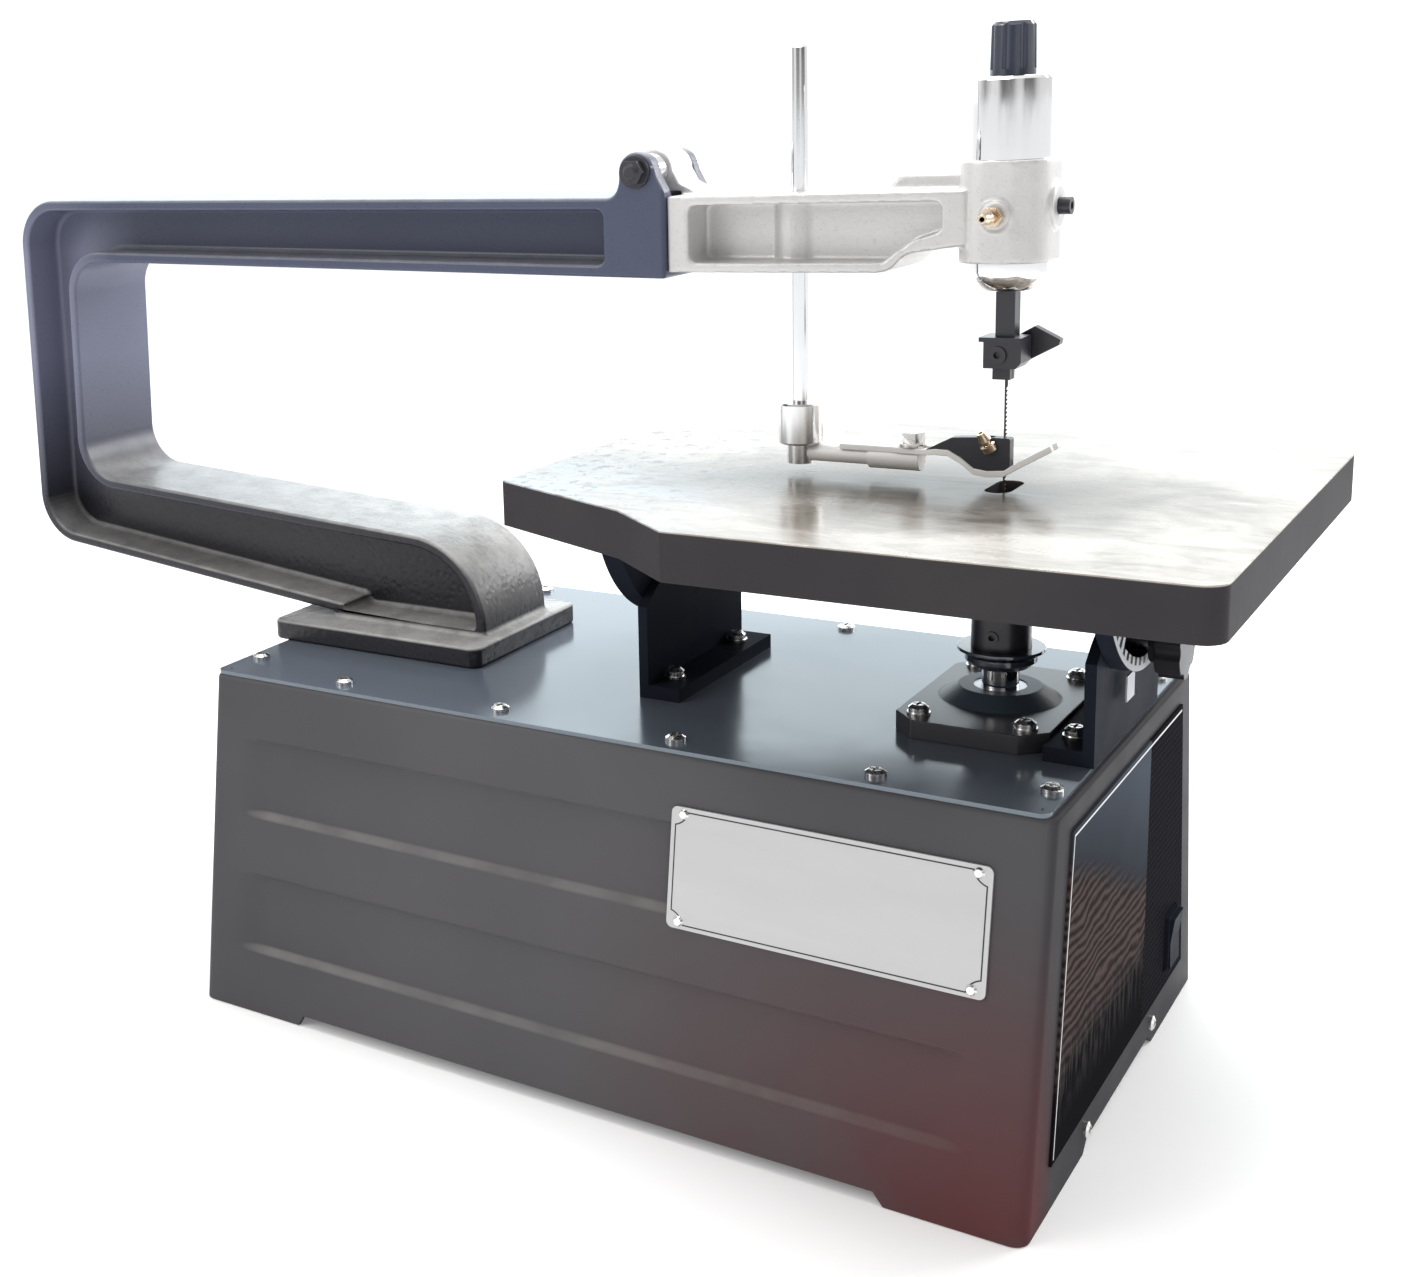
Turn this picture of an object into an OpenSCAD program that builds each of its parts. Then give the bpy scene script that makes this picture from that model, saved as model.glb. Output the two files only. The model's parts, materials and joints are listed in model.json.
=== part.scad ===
// Rigid-arm scroll saw on a sheet-metal base, as an assembly of separate pieces.
// +X runs along the arm to the operator's end, +Z is up, and the origin is the
// centre of the base's footprint on the bench.

/* [Base] */
// Length of the sheet-metal base
base_l = 452; // [440:2:470]
// Width of the base at its top
base_top_w = 232; // [220:2:240]
// Width of the base at the bench
base_bottom_w = 288; // [276:2:300]
// Height of the base to the top plate's upper face
base_h = 182; // [178:1:186]
// Thickness of the base's sheet
sheet = 3; // [2:0.5:4]
// Width of the base's folded top lip
lip = 18; // [16:1:20]
// Depth of the pressed bands in the long sides
band_depth = 2; // [1:0.5:3]
// Height of the corner feet
foot_h = 6; // [4:1:10]

/* [Cast frame] */
// Distance from the blade to the column
throat = 559; // [550:1:562]
// Width of the cast frame
frame_w = 64; // [60:1:68]
// Thickness of the frame's web
web_t = 14; // [10:1:20]
// Width of the rim around the web
rim_w = 6; // [4:0.5:8]

/* [Table] */
// Width of the table
table_w = 284; // [270:2:290]
// Thickness of the table's rim
table_t = 23; // [20:1:24]
// Height of the table's working face
table_z = 292; // [290:1:294]
// Radius of the tilting trunnions
trunnion_r = 77; // [76:0.5:78]

/* [Blade drive] */
// Distance of the blade from the base's centre
blade_x = 166; // [164:1:168]
// Full stroke of the blade
stroke = 18; // [12:1:18]
// Diameter of the lower plunger
shaft_d = 17; // [16:0.5:18]
// Running clearance on a radius
fit = 0.05; // [0.02:0.01:0.09]

/* [Head] */
// Diameter of the plunger tube
tube_d = 33.6; // [32:0.1:34]
// Side of the head's rounded square
head_w = 40; // [39:0.5:42]
// Diameter of the hold-down post
post_d = 8; // [7:0.5:9]

/* [Hidden] */
$fn = 48;
e = 0.01;

half_l = base_l/2;
lean = (base_bottom_w - base_top_w)/2/base_h;
lean_a = atan(lean);
plate_t = 2;
shell_h = base_h - plate_t;
column_x = blade_x - throat;
joint_x = 10;
hinge = [-5, 0, 440.5];
post_x = 66;
tilt_stud_z = table_z - 66;
front_plate_x = half_l - 7;
rear_plate_x = 3;
bracket_t = 5;
flange_t = 9;
motor_z = 78;
crank_r = stroke/2;
rod_l = 52;
rod_a = asin(crank_r/rod_l);
wrist_z = motor_z + rod_l*cos(rod_a);
head_z0 = 396;
head_z1 = 441;
tube_top = 476.7;
clamp_z = 354;
foot_w = 108;
screw_y = 103;
screw_xs = [-146, -49, 48, 145];
corner_screws = [for (x = [-216, 216], y = [-87, 87]) [x, y]];
frame_bolts = [for (x = [-198, -115], y = [-40, 40]) [x, y]];
bracket_bolts_y = 36;
flange_bolts = [for (x = [-24.5, 24.5], y = [-41, 41]) [blade_x + x, y]];
bands = [[33, 76], [106, 149]];
rivet_xs = [61, 197];
rivet_zs = [104.2, 153.8];
bench_bolts = [for (x = [-200, 200], y = [-114, 114]) [x, y]];

foot_t = 2.8;
foot_path = [[88, 305.4], [130, 305.4], [136, 306.3], [142, 306.2], [148, 303], [154, 298.4], [160, 297.5],
             [168, 298.2], [176, 303.2], [189, 310.8]];
foot_top = [for (i = [0:len(foot_path) - 1]) [foot_path[i][0] - (i > 7 ? 1 : 0), foot_path[i][1] + foot_t]];

function half_w(z) = base_bottom_w/2 - lean*z;
function arc(x, y, r, a0, a1, n = 12) =
    [for (i = [0:n]) [x + r*cos(a0 + (a1 - a0)*i/n), y + r*sin(a0 + (a1 - a0)*i/n)]];

// Extrudes an outline in the Y-Z plane from x0 to x1
module along_x(x0, x1) {
    translate([x0, 0, 0]) rotate([90, 0, 90]) linear_extrude(x1 - x0) children();
}

// Extrudes an outline in the X-Z plane from y0 to y1
module along_y(y0, y1) {
    translate([0, y1, 0]) rotate([90, 0, 0]) linear_extrude(y1 - y0) children();
}

module rod_x(x0, x1, r) { translate([x0, 0, 0]) rotate([0, 90, 0]) cylinder(h = x1 - x0, r = r); }
module rod_y(y0, y1, r) { translate([0, y1, 0]) rotate([90, 0, 0]) cylinder(h = y1 - y0, r = r); }
module rod_z(z0, z1, r) { translate([0, 0, z0]) cylinder(h = z1 - z0, r = r); }

// A block from one corner to the opposite one
module block(a, b) { translate(a) cube(b - a); }

// A hexagon across flats af, from z = 0 up
module hex(af, h) { cylinder(h = h, d = af/cos(30), $fn = 6); }

// Pan-head screw with a cross slot, standing on z = 0
module pan_screw(d, h, shank_d, shank_l) {
    crown = 0.4*h;
    difference() {
        union() {
            cylinder(h = h - crown, d = d);
            translate([0, 0, h - crown - e]) cylinder(h = crown + e, d1 = d, d2 = 0.62*d);
        }
        for (a = [0, 90]) rotate(a) translate([-0.28*d, -0.07*d, 0.35*h]) cube([0.56*d, 0.14*d, h]);
    }
    translate([0, 0, -shank_l]) cylinder(h = shank_l, d = shank_d);
}

// Puts a flat piece on the near sloping side, its back on the face at height z
module on_side(x, z) { translate([x, -half_w(z), z]) rotate([90 - lean_a, 0, 0]) children(); }

// ---- Base -------------------------------------------------------------------

// Outer cross-section of the base
module base_outer() {
    polygon([[-half_w(0), 0], [half_w(0), 0], [half_w(shell_h), shell_h], [-half_w(shell_h), shell_h]]);
}

// Cross-section of the space inside the base, which follows the pressed bands
module base_inner() {
    steps = [[-1, 0], [bands[0][0], 0], [bands[0][0] + 4, 1], [bands[0][1] - 6, 1], [bands[0][1], 0],
             [bands[1][0], 0], [bands[1][0] + 4, 1], [bands[1][1] - 6, 1], [bands[1][1], 0], [shell_h - sheet, 0]];
    n = len(steps);
    side = [for (s = steps) [half_w(s[0]) - sheet - s[1]*band_depth, s[0]]];
    polygon(concat(side, [for (i = [n - 1:-1:0]) [-side[i][0], side[i][1]]]));
}

// Cutter for one pressed band on the side s, from height z0 to z1
module band_cut(s, z0, z1) {
    along_x(-197, 195) polygon([for (p = [[z0 - 2, 1], [z0 + 4, -band_depth], [z1 - 6, -band_depth],
                                          [z1 + 3, 1], [z1 + 3, 4], [z0 - 2, 4]]) [s*(half_w(p[0]) + p[1]), p[0]]]);
}

// Long side of the base on the side s: wall, top lip and two feet
module base_side(s) {
    color("dimgray") difference() {
        union() {
            difference() {
                along_x(-half_l, half_l) base_outer();
                along_x(-half_l - 1, half_l + 1) base_inner();
                block([-half_l - 1, s > 0 ? -base_bottom_w : -base_top_w/2 + lip, -2],
                      [half_l + 1, s > 0 ? base_top_w/2 - lip : base_bottom_w, shell_h + 1]);
            }
            for (sx = [-1, 1]) foot_flange(sx, s);
        }
        for (b = bands) band_cut(s, b[0], b[1]);
        block([-162, -base_bottom_w, -1], [166, base_bottom_w, foot_h]);
        for (p = corner_screws) translate([p[0], p[1], 0]) rod_z(shell_h - 9, shell_h + 1, 2.1);
        for (x = screw_xs) translate([x, s*screw_y, 0]) rod_z(shell_h - 9, shell_h + 1, 2.1);
        if (s < 0) for (x = rivet_xs, z = rivet_zs) on_side(x, z) translate([0, 0, -6]) cylinder(h = 8, r = 1.6);
    }
}

// End wall of the base with its top lip, toward s
module base_end(s) {
    w = base_top_w/2 - lip;
    difference() {
        union() {
            along_x(s > 0 ? half_l - sheet : -half_l, s > 0 ? half_l : -half_l + sheet) intersection() {
                base_inner();
                translate([-base_bottom_w, 0]) square([2*base_bottom_w, shell_h]);
            }
            block([s > 0 ? half_l - lip : -half_l, -w, shell_h - sheet],
                  [s > 0 ? half_l : -half_l + lip, w, shell_h]);
        }
        block([-half_l - 1, -55, -1], [half_l + 1, 55, foot_h]);
        for (p = corner_screws) translate([p[0], p[1], 0]) rod_z(shell_h - 9, shell_h + 1, 2.1);
    }
}

module base_side_near() { base_side(-1); }
module base_side_far() { base_side(1); }
module base_end_rear() {
    color("dimgray") difference() {
        base_end(-1);
        translate([0, 60, 40]) rod_x(-half_l - 1, -half_l + 8, 6.2);
    }
}

module base_end_front() {
    color("dimgray") difference() {
        base_end(1);
        for (y = [-57, 57]) translate([0, y, 12]) rod_x(half_l - 8, half_l + 1, 2.1);
        block([half_l - 8, 74, 32], [half_l + 1, 96, 62]);
    }
}

// Inward flange of one corner foot, with its bench bolt hole
module foot_flange(sx, sy) {
    difference() {
        block([sx > 0 ? 180 : -half_l + sheet, sy > 0 ? 96 : -half_w(sheet) + 1.5, 0],
              [sx > 0 ? half_l - sheet : -180, sy > 0 ? half_w(sheet) - 1.5 : -96, sheet]);
        for (p = bench_bolts) translate([p[0], p[1], 0]) rod_z(-1, sheet + 1, 4.5);
    }
}

module top_plate() {
    r = 5;
    color("gray") difference() {
        translate([-half_l + 1, -base_top_w/2 + 1, shell_h]) linear_extrude(plate_t)
            translate([r, r]) offset(r = r) square([base_l - 4 - 2*r, base_top_w - 2 - 2*r]);
        for (p = concat(corner_screws, [for (x = screw_xs, y = [-screw_y, screw_y]) [x, y]]))
            translate([p[0], p[1], 0]) rod_z(shell_h - 1, base_h + 1, 2.1);
        for (p = frame_bolts) translate([p[0], p[1], 0]) rod_z(shell_h - 1, base_h + 1, 4.1);
        for (x = [rear_plate_x + 10.5, front_plate_x - 8], y = [-bracket_bolts_y, bracket_bolts_y])
            translate([x, y, 0]) rod_z(shell_h - 1, base_h + 1, 2.6);
        for (p = flange_bolts) translate([p[0], p[1], 0]) rod_z(shell_h - 1, base_h + 1, 2.6);
        translate([blade_x, 0, 0]) rod_z(shell_h - 1, base_h + 1, 20);
    }
}

module cover_screws() {
    color("silver") {
        for (p = concat(corner_screws, [for (x = screw_xs, y = [-screw_y, screw_y]) [x, y]]))
            translate([p[0], p[1], base_h]) pan_screw(9.5, 2.8, 4, 8);
        for (y = [-57, 57]) translate([half_l, y, 12]) rotate([0, 90, 0]) pan_screw(7.5, 2.2, 4, 6);
    }
}

module control_panel() {
    t = 1.2;
    color([0.1, 0.1, 0.11]) difference() {
        along_x(half_l, half_l + t) polygon([[-113, 23], [113, 23], [93.5, 168], [-93.5, 168]]);
        block([half_l - 1, 74, 32], [half_l + 5, 96, 62]);
    }
}

module power_switch() {
    color([0.12, 0.12, 0.13]) {
        block([half_l - 5, 75, 33], [half_l + 3.2, 95, 61]);
        along_y(76, 94) polygon([[half_l + 3.1, 33.5], [half_l + 4.2, 33.5], [half_l + 3.8, 47], [half_l + 5.6, 60.5], [half_l + 3.1, 60.5]]);
    }
}

module name_plate() {
    w = 148;
    h = 57;
    r = 3;
    color("silver") difference() {
        on_side(129, 129) translate([-w/2, -h/2, 0]) linear_extrude(1.2)
            translate([r, r]) offset(r = r) square([w - 2*r, h - 2*r]);
        for (x = rivet_xs, z = rivet_zs) on_side(x, z) translate([0, 0, -6]) cylinder(h = 12, r = 1.6);
    }
}

module name_plate_rivets() {
    color("silver") for (x = rivet_xs, z = rivet_zs) on_side(x, z) {
        translate([0, 0, 1.2]) cylinder(h = 1.1, d1 = 5, d2 = 3.4);
        translate([0, 0, -3.5]) cylinder(h = 4.8, r = 1.6);
    }
}

// ---- Cast frame -------------------------------------------------------------

// Side outline of the frame: upper limb, column, lower limb and gooseneck
module frame_outline() {
    polygon(concat(
        [[joint_x, 428]],
        arc(column_x - 15.5, 404, 28, 90, 180),
        arc(column_x - 17, 247, 30, 180, 260),
        [[-205, 196], [-205, 190], [-103, 190]],
        arc(-152, 197, 49, 0, 88),
        arc(column_x + 20, 284.5, 24, 270, 180),
        arc(column_x + 19.5, 375, 20, 180, 90),
        [[joint_x, 389]]));
}

// One hinge ear from the frame's end block to the pin
module ear_outline() {
    translate([hinge[0], hinge[2]]) circle(r = 9.6);
    polygon([[-20, 426], [-14.6, 434], [-14.6, 440.5], [4.6, 440.5], [joint_x, 431], [joint_x, 426]]);
}

module c_frame() {
    hw = frame_w/2;
    color([0.3, 0.31, 0.34]) difference() {
        union() {
            along_y(-hw, hw) frame_outline();
            along_y(-hw, -23) ear_outline();
            along_y(10, 18) ear_outline();
            translate([-235, -53, base_h]) linear_extrude(11.5)
                translate([6, 6]) offset(r = 6) square([128, 94]);
        }
        for (s = [-1, 1]) along_y(s > 0 ? web_t/2 : -hw - 1, s > 0 ? hw + 1 : -web_t/2)
            difference() {
                offset(r = 5) offset(delta = -rim_w - 5) frame_outline();
                translate([-24, 380]) square([60, 60]);
            }
        translate([hinge[0], 0, hinge[2]]) rod_y(-hw - 1, 20, 4);
        for (p = frame_bolts) translate([p[0], p[1], 0]) rod_z(base_h - 1, base_h + 9, 4.1);
    }
}

module c_frame_bolts() {
    color("gray") for (p = frame_bolts) translate([p[0], p[1], 0]) {
        rod_z(shell_h - 1.6, shell_h, 8);
        translate([0, 0, shell_h - 7]) hex(13, 5.5);
        rod_z(shell_h - 2, base_h + 8, 4);
    }
}

// ---- Hinge ------------------------------------------------------------------

module hinge_pin() {
    color([0.15, 0.15, 0.16]) translate([hinge[0], 0, hinge[2]]) {
        rod_y(-frame_w/2 - 1, 27, 4);
        rod_y(-frame_w/2 - 1.4, -frame_w/2, 8);
        translate([0, -frame_w/2 - 1.3, 0]) rotate([90, 0, 0]) {
            hex(11, 3.4);
            translate([0, 0, 3.3]) cylinder(h = 1.6, d1 = 9.4, d2 = 5.4);
        }
    }
}

module hinge_spacer() {
    color("silver") translate([hinge[0], 0, hinge[2]]) difference() {
        rod_y(-23, -14, 8.6);
        rod_y(-24, -13, 4);
    }
}

module hinge_nut() {
    color("silver") translate([hinge[0], 0, hinge[2]]) difference() {
        union() {
            rod_y(18, 19.6, 8.8);
            translate([0, 26, 0]) rotate([90, 0, 0]) hex(13, 6.5);
        }
        rod_y(17, 28, 4);
    }
}

// ---- Trunnions, brackets and table -------------------------------------------

// Upright of a bracket, seen along X
module bracket_outline() {
    hw = foot_w/2;
    polygon([[-hw, base_h], [hw, base_h], [hw, 229], [hw - 8, 235], [28, 245],
             [-28, 245], [-hw + 8, 235], [-hw, 229]]);
}

// Arc rail between radii r0 and r1, half_a degrees each side of straight down
module rail_outline(r0, r1, half_a) {
    translate([0, table_z]) intersection() {
        difference() { circle(r = r1, $fn = 120); circle(r = r0, $fn = 120); }
        polygon([[0, 0], [-200*tan(half_a), -200], [200*tan(half_a), -200]]);
    }
}

// Angle bracket: upright at x, foot toward dir, rail away from dir
module bracket(x, dir) {
    hw = foot_w/2;
    foot_l = 22;
    difference() {
        union() {
            along_x(x, x + bracket_t) bracket_outline();
            block([dir > 0 ? x : x + bracket_t - foot_l, -hw, base_h],
                  [dir > 0 ? x + foot_l : x + bracket_t, hw, base_h + 7]);
            along_x(dir > 0 ? x - 2.5 : x + bracket_t - e, dir > 0 ? x + e : x + bracket_t + 2.5)
                rail_outline(50.5, 54.5, 22);
        }
        for (y = [-bracket_bolts_y, bracket_bolts_y])
            translate([dir > 0 ? x + 10.5 : x - 8, y, 0]) rod_z(base_h - 1, base_h + 8, 2.6);
        if (dir < 0) translate([0, 0, tilt_stud_z]) rod_x(x - 1, x + bracket_t + 1, 4);
    }
}

module rear_bracket() { color([0.2, 0.21, 0.23]) bracket(rear_plate_x, 1); }
module front_bracket() { color([0.25, 0.26, 0.28]) bracket(front_plate_x, -1); }

module bracket_screws() {
    color("silver") for (x = [rear_plate_x + 10.5, front_plate_x - 8], y = [-bracket_bolts_y, bracket_bolts_y])
        translate([x, y, base_h + 7]) {
            cylinder(h = 1.2, r = 5.6);
            translate([0, 0, 1.2]) pan_screw(9.6, 4, 5, 10.1);
        }
}

module tilt_lock_stud() {
    color("silver") translate([0, 0, tilt_stud_z]) {
        rod_x(front_plate_x - 7, half_l + 18, 4);
        translate([front_plate_x - 6.5, 0, 0]) rotate([0, 90, 0]) hex(13, 6.5);
    }
}

module tilt_lock_knob() {
    x0 = half_l + 7.5;
    color([0.08, 0.08, 0.09]) difference() {
        union() {
            translate([0, 0, tilt_stud_z]) rod_x(x0, x0 + 4, 9);
            translate([x0 + 3.9, 0, tilt_stud_z]) rotate([0, 90, 0]) cylinder(h = 11, r = 15);
        }
        translate([0, 0, tilt_stud_z]) rod_x(x0 - 1, half_l + 18.3, 4 + fit);
        for (a = [0:60:300]) translate([x0 + 3, 0, tilt_stud_z]) rotate([a, 0, 0]) translate([0, 17.5, 0])
            rotate([0, 90, 0]) cylinder(h = 14, r = 4.5);
    }
}

// Half-disc trunnion under the table between x0 and x1, its bolting flange reaching to xf
module trunnion(x0, x1, xf) {
    top = table_z - table_t;
    groove_x = xf < x0 ? x1 - 3 : x0 - 1;
    difference() {
        union() {
            along_x(x0, x1) intersection() {
                translate([0, table_z]) circle(r = trunnion_r, $fn = 160);
                translate([-100, 0]) square([200, top]);
            }
            block([min(x0, xf), -58, top - 6], [max(x1, xf), 58, top]);
        }
        along_x(groove_x, groove_x + 4) rail_outline(50.1, 54.9, 56);
        if (xf > x0) along_x(x0 - 1, x1 + 1) rail_outline(61.5, 70.5, 36);
        for (y = [-46, 46]) translate([(xf < x0 ? xf + 10 : xf - 10), y, 0]) rod_z(top - 7, top + 1, 3);
    }
}

module rear_trunnion() { color([0.55, 0.56, 0.57]) trunnion(-8, rear_plate_x - 0.3, -28); }
module front_trunnion() { color([0.6, 0.61, 0.62]) trunnion(front_plate_x + bracket_t + 0.3, half_l + 6, half_l + 26); }

module trunnion_bolts() {
    top = table_z - table_t;
    color("silver") for (x = [-18, half_l + 16], y = [-46, 46]) translate([x, y, 0]) {
        rod_z(top - 6, top + 8, 3);
        translate([0, 0, top - 10.5]) hex(10, 4.5);
    }
}

// Top outline of the table, inset by off
module table_outline(off) {
    offset(delta = -off) polygon(concat(
        [[-61, -74], [25, -112], [62, -table_w/2]],
        arc(281, -table_w/2 + 10, 10, -90, 0, 6),
        arc(281, table_w/2 - 10, 10, 0, 90, 6),
        [[62, table_w/2], [25, 112], [-61, 74]]));
}

module table_top() {
    skin = 10;
    wall = 9;
    top = table_z - table_t;
    color([0.62, 0.6, 0.57]) difference() {
        translate([0, 0, top]) linear_extrude(table_t) table_outline(0);
        difference() {
            translate([0, 0, top - 1]) linear_extrude(table_t - skin + 1) table_outline(wall);
            block([-34, -200, 0], [14, 200, table_z]);
            block([half_l - 4, -200, 0], [half_l + 32, 200, table_z]);
            block([-100, -5, 0], [300, 5, table_z]);
            translate([blade_x, 0, 0]) rod_z(0, table_z, 26);
        }
        translate([blade_x, 0, top - 1]) linear_extrude(table_t + 2)
            for (y = [-9, 9]) hull_slot(y);
        for (x = [-18, half_l + 16], y = [-46, 46]) translate([x, y, 0]) rod_z(top - 1, top + 9, 3);
    }
}

// Half of the blade slot, from the centre to y
module hull_slot(y) {
    translate([0, y]) circle(r = 6);
    translate([-6, min(0, y)]) square([12, abs(y)]);
}

// ---- Lower bearing and plunger ------------------------------------------------

module bearing_flange() {
    w = 71;
    l = 104;
    c = 11;
    color([0.2, 0.21, 0.23]) translate([blade_x, 0, 0]) difference() {
        union() {
            translate([0, 0, base_h]) linear_extrude(flange_t)
                polygon([[-w/2 + c, -l/2], [w/2 - c, -l/2], [w/2, -l/2 + c], [w/2, l/2 - c],
                         [w/2 - c, l/2], [-w/2 + c, l/2], [-w/2, l/2 - c], [-w/2, -l/2 + c]]);
            translate([0, 0, base_h + flange_t - e]) cylinder(h = 6, d1 = 55, d2 = 38);
            rod_z(150, base_h + 1, 19.8);
        }
        rod_z(149, base_h + 20, 12);
        for (x = [-24.5, 24.5], y = [-41, 41]) translate([x, y, 0]) rod_z(base_h - 1, base_h + 20, 2.6);
    }
}

module flange_screws() {
    color("silver") for (p = flange_bolts) translate([p[0], p[1], base_h + flange_t]) {
        cylinder(h = 1, r = 5.4);
        translate([0, 0, 1]) pan_screw(9.4, 3.6, 5, 13);
    }
}

module lower_bush() {
    color([0.72, 0.5, 0.25]) translate([blade_x, 0, 0]) difference() {
        rod_z(150, base_h + flange_t + 5.5, 12);
        rod_z(149, base_h + 30, shaft_d/2 + fit);
    }
}

module lower_plunger() {
    color("silver") translate([blade_x, 0, 0]) {
        difference() {
            rod_z(wrist_z - 8, 214, shaft_d/2);
            translate([0, 0, wrist_z]) rod_x(-12, 12, 3);
        }
        translate([0, 0, wrist_z]) rod_x(-12.2, 10.5, 3);
    }
}

module dust_discs() {
    color([0.1, 0.1, 0.12]) translate([blade_x, 0, 0]) difference() {
        union() {
            translate([0, 0, 206.5]) cylinder(h = 3, d1 = 26, d2 = 32.8);
            rod_z(209.4, 212, 16.4);
            rod_z(211.9, 213.5, 12);
            translate([0, 0, 213.4]) cylinder(h = 1.2, d1 = 36, d2 = 40);
            rod_z(214.5, 216, 20);
        }
        rod_z(200, 214, shaft_d/2);
        rod_z(213.9, 220, 13.7);
    }
}

module lower_chuck() {
    color([0.1, 0.1, 0.11]) translate([blade_x, 0, 0]) difference() {
        union() {
            rod_z(214, 232, 13.65);
            translate([0, 0, 232 - e]) cylinder(h = 9, r1 = 13.65, r2 = 9);
        }
        block([-0.75, -0.3, 225], [0.75, 0.3, 250]);
        translate([0, 0, 223]) rod_y(-20, -8, 3);
    }
}

module lower_chuck_screw() {
    color([0.12, 0.12, 0.13]) translate([blade_x, 0, 223]) difference() {
        rod_y(-14.4, -8, 3);
        translate([0, -14.5, 0]) rotate([-90, 0, 0]) cylinder(h = 2.4, r = 1.6, $fn = 6);
    }
}

module blade() {
    color([0.5, 0.5, 0.52]) block([blade_x - 0.7, -0.25, 225], [blade_x + 0.7, 0.25, 352]);
}

// ---- Motor and crank ------------------------------------------------------------

module motor_body() {
    color([0.35, 0.36, 0.38]) translate([0, 0, motor_z]) difference() {
        rod_x(18, 128, 42);
        rod_x(34, 112, 27);
        rod_x(17, 129, 5 + fit);
        for (a = [45:90:315]) rotate([a, 0, 0]) translate([0, 35, 0]) rod_x(120, 129, 3);
    }
}

module motor_bracket() {
    color([0.3, 0.3, 0.32]) difference() {
        union() {
            block([60, -60, shell_h - 4], [132, 60, shell_h]);
            block([128, -60, 40], [132, 60, shell_h - 2]);
        }
        translate([0, 0, motor_z]) rod_x(127, 133, 24);
        for (a = [45:90:315]) translate([0, 0, motor_z]) rotate([a, 0, 0]) translate([0, 35, 0]) rod_x(127, 133, 3);
    }
}

module motor_bolts() {
    color("silver") for (a = [45:90:315]) translate([0, 0, motor_z]) rotate([a, 0, 0]) translate([0, 35, 0]) {
        rod_x(121, 132, 3);
        translate([132, 0, 0]) rotate([0, 90, 0]) hex(10, 4);
    }
}

module motor_shaft() {
    color("silver") translate([0, 0, motor_z]) {
        rod_x(20, 146, 5);
        rod_x(42, 104, 25);
    }
}

module crank_disc() {
    color([0.4, 0.4, 0.42]) translate([0, 0, motor_z]) {
        difference() {
            rod_x(138, 146, 22);
            rod_x(137, 147, 5);
            translate([0, crank_r, 0]) rod_x(143, 147, 3);
        }
        translate([0, crank_r, 0]) rod_x(143, 153.4, 3);
    }
}

module connecting_rod() {
    color([0.6, 0.6, 0.62]) translate([0, crank_r, motor_z]) rotate([rod_a, 0, 0]) difference() {
        union() {
            rod_x(147, 153, 8);
            translate([0, 0, rod_l]) rod_x(147, 153, 8);
            block([147, -5, 0], [153, 5, rod_l]);
        }
        rod_x(146, 154, 3 + fit);
        translate([0, 0, rod_l]) rod_x(146, 154, 3 + fit);
    }
}

module control_box() {
    color([0.15, 0.15, 0.16]) difference() {
        block([half_l - 33, 66, 26], [half_l - sheet, 104, 104]);
        block([half_l - 31, 68, 28], [half_l, 102, 102]);
    }
}

module cord_gland() {
    color([0.08, 0.08, 0.09]) translate([0, 60, 40]) difference() {
        union() {
            rod_x(-half_l - 2, -half_l + 7, 6.2);
            translate([-half_l - 6, 0, 0]) rotate([0, 90, 0]) hex(19, 6);
            translate([-half_l - 18, 0, 0]) rotate([0, 90, 0]) cylinder(h = 12.1, r1 = 5.5, r2 = 8.5);
            translate([-half_l + sheet, 0, 0]) rotate([0, 90, 0]) hex(19, 4);
        }
        rod_x(-half_l - 20, -half_l + 10, 3.6);
    }
}

// ---- Front arm and head -----------------------------------------------------------

arm_x0 = joint_x + 0.3;
arm_end = blade_x - 14;

// Side outline of the arm, with the curve under its front end
module arm_outline() {
    polygon(concat(
        [[arm_x0, 428.5], [arm_x0, 392], [113, 392]],
        arc(113, 403, 11, -90, -38, 6),
        arc(131.6, 388.6, 12.6, 142, 96, 6),
        [[arm_end, 404], [arm_end, 428.5]]));
}

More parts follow.
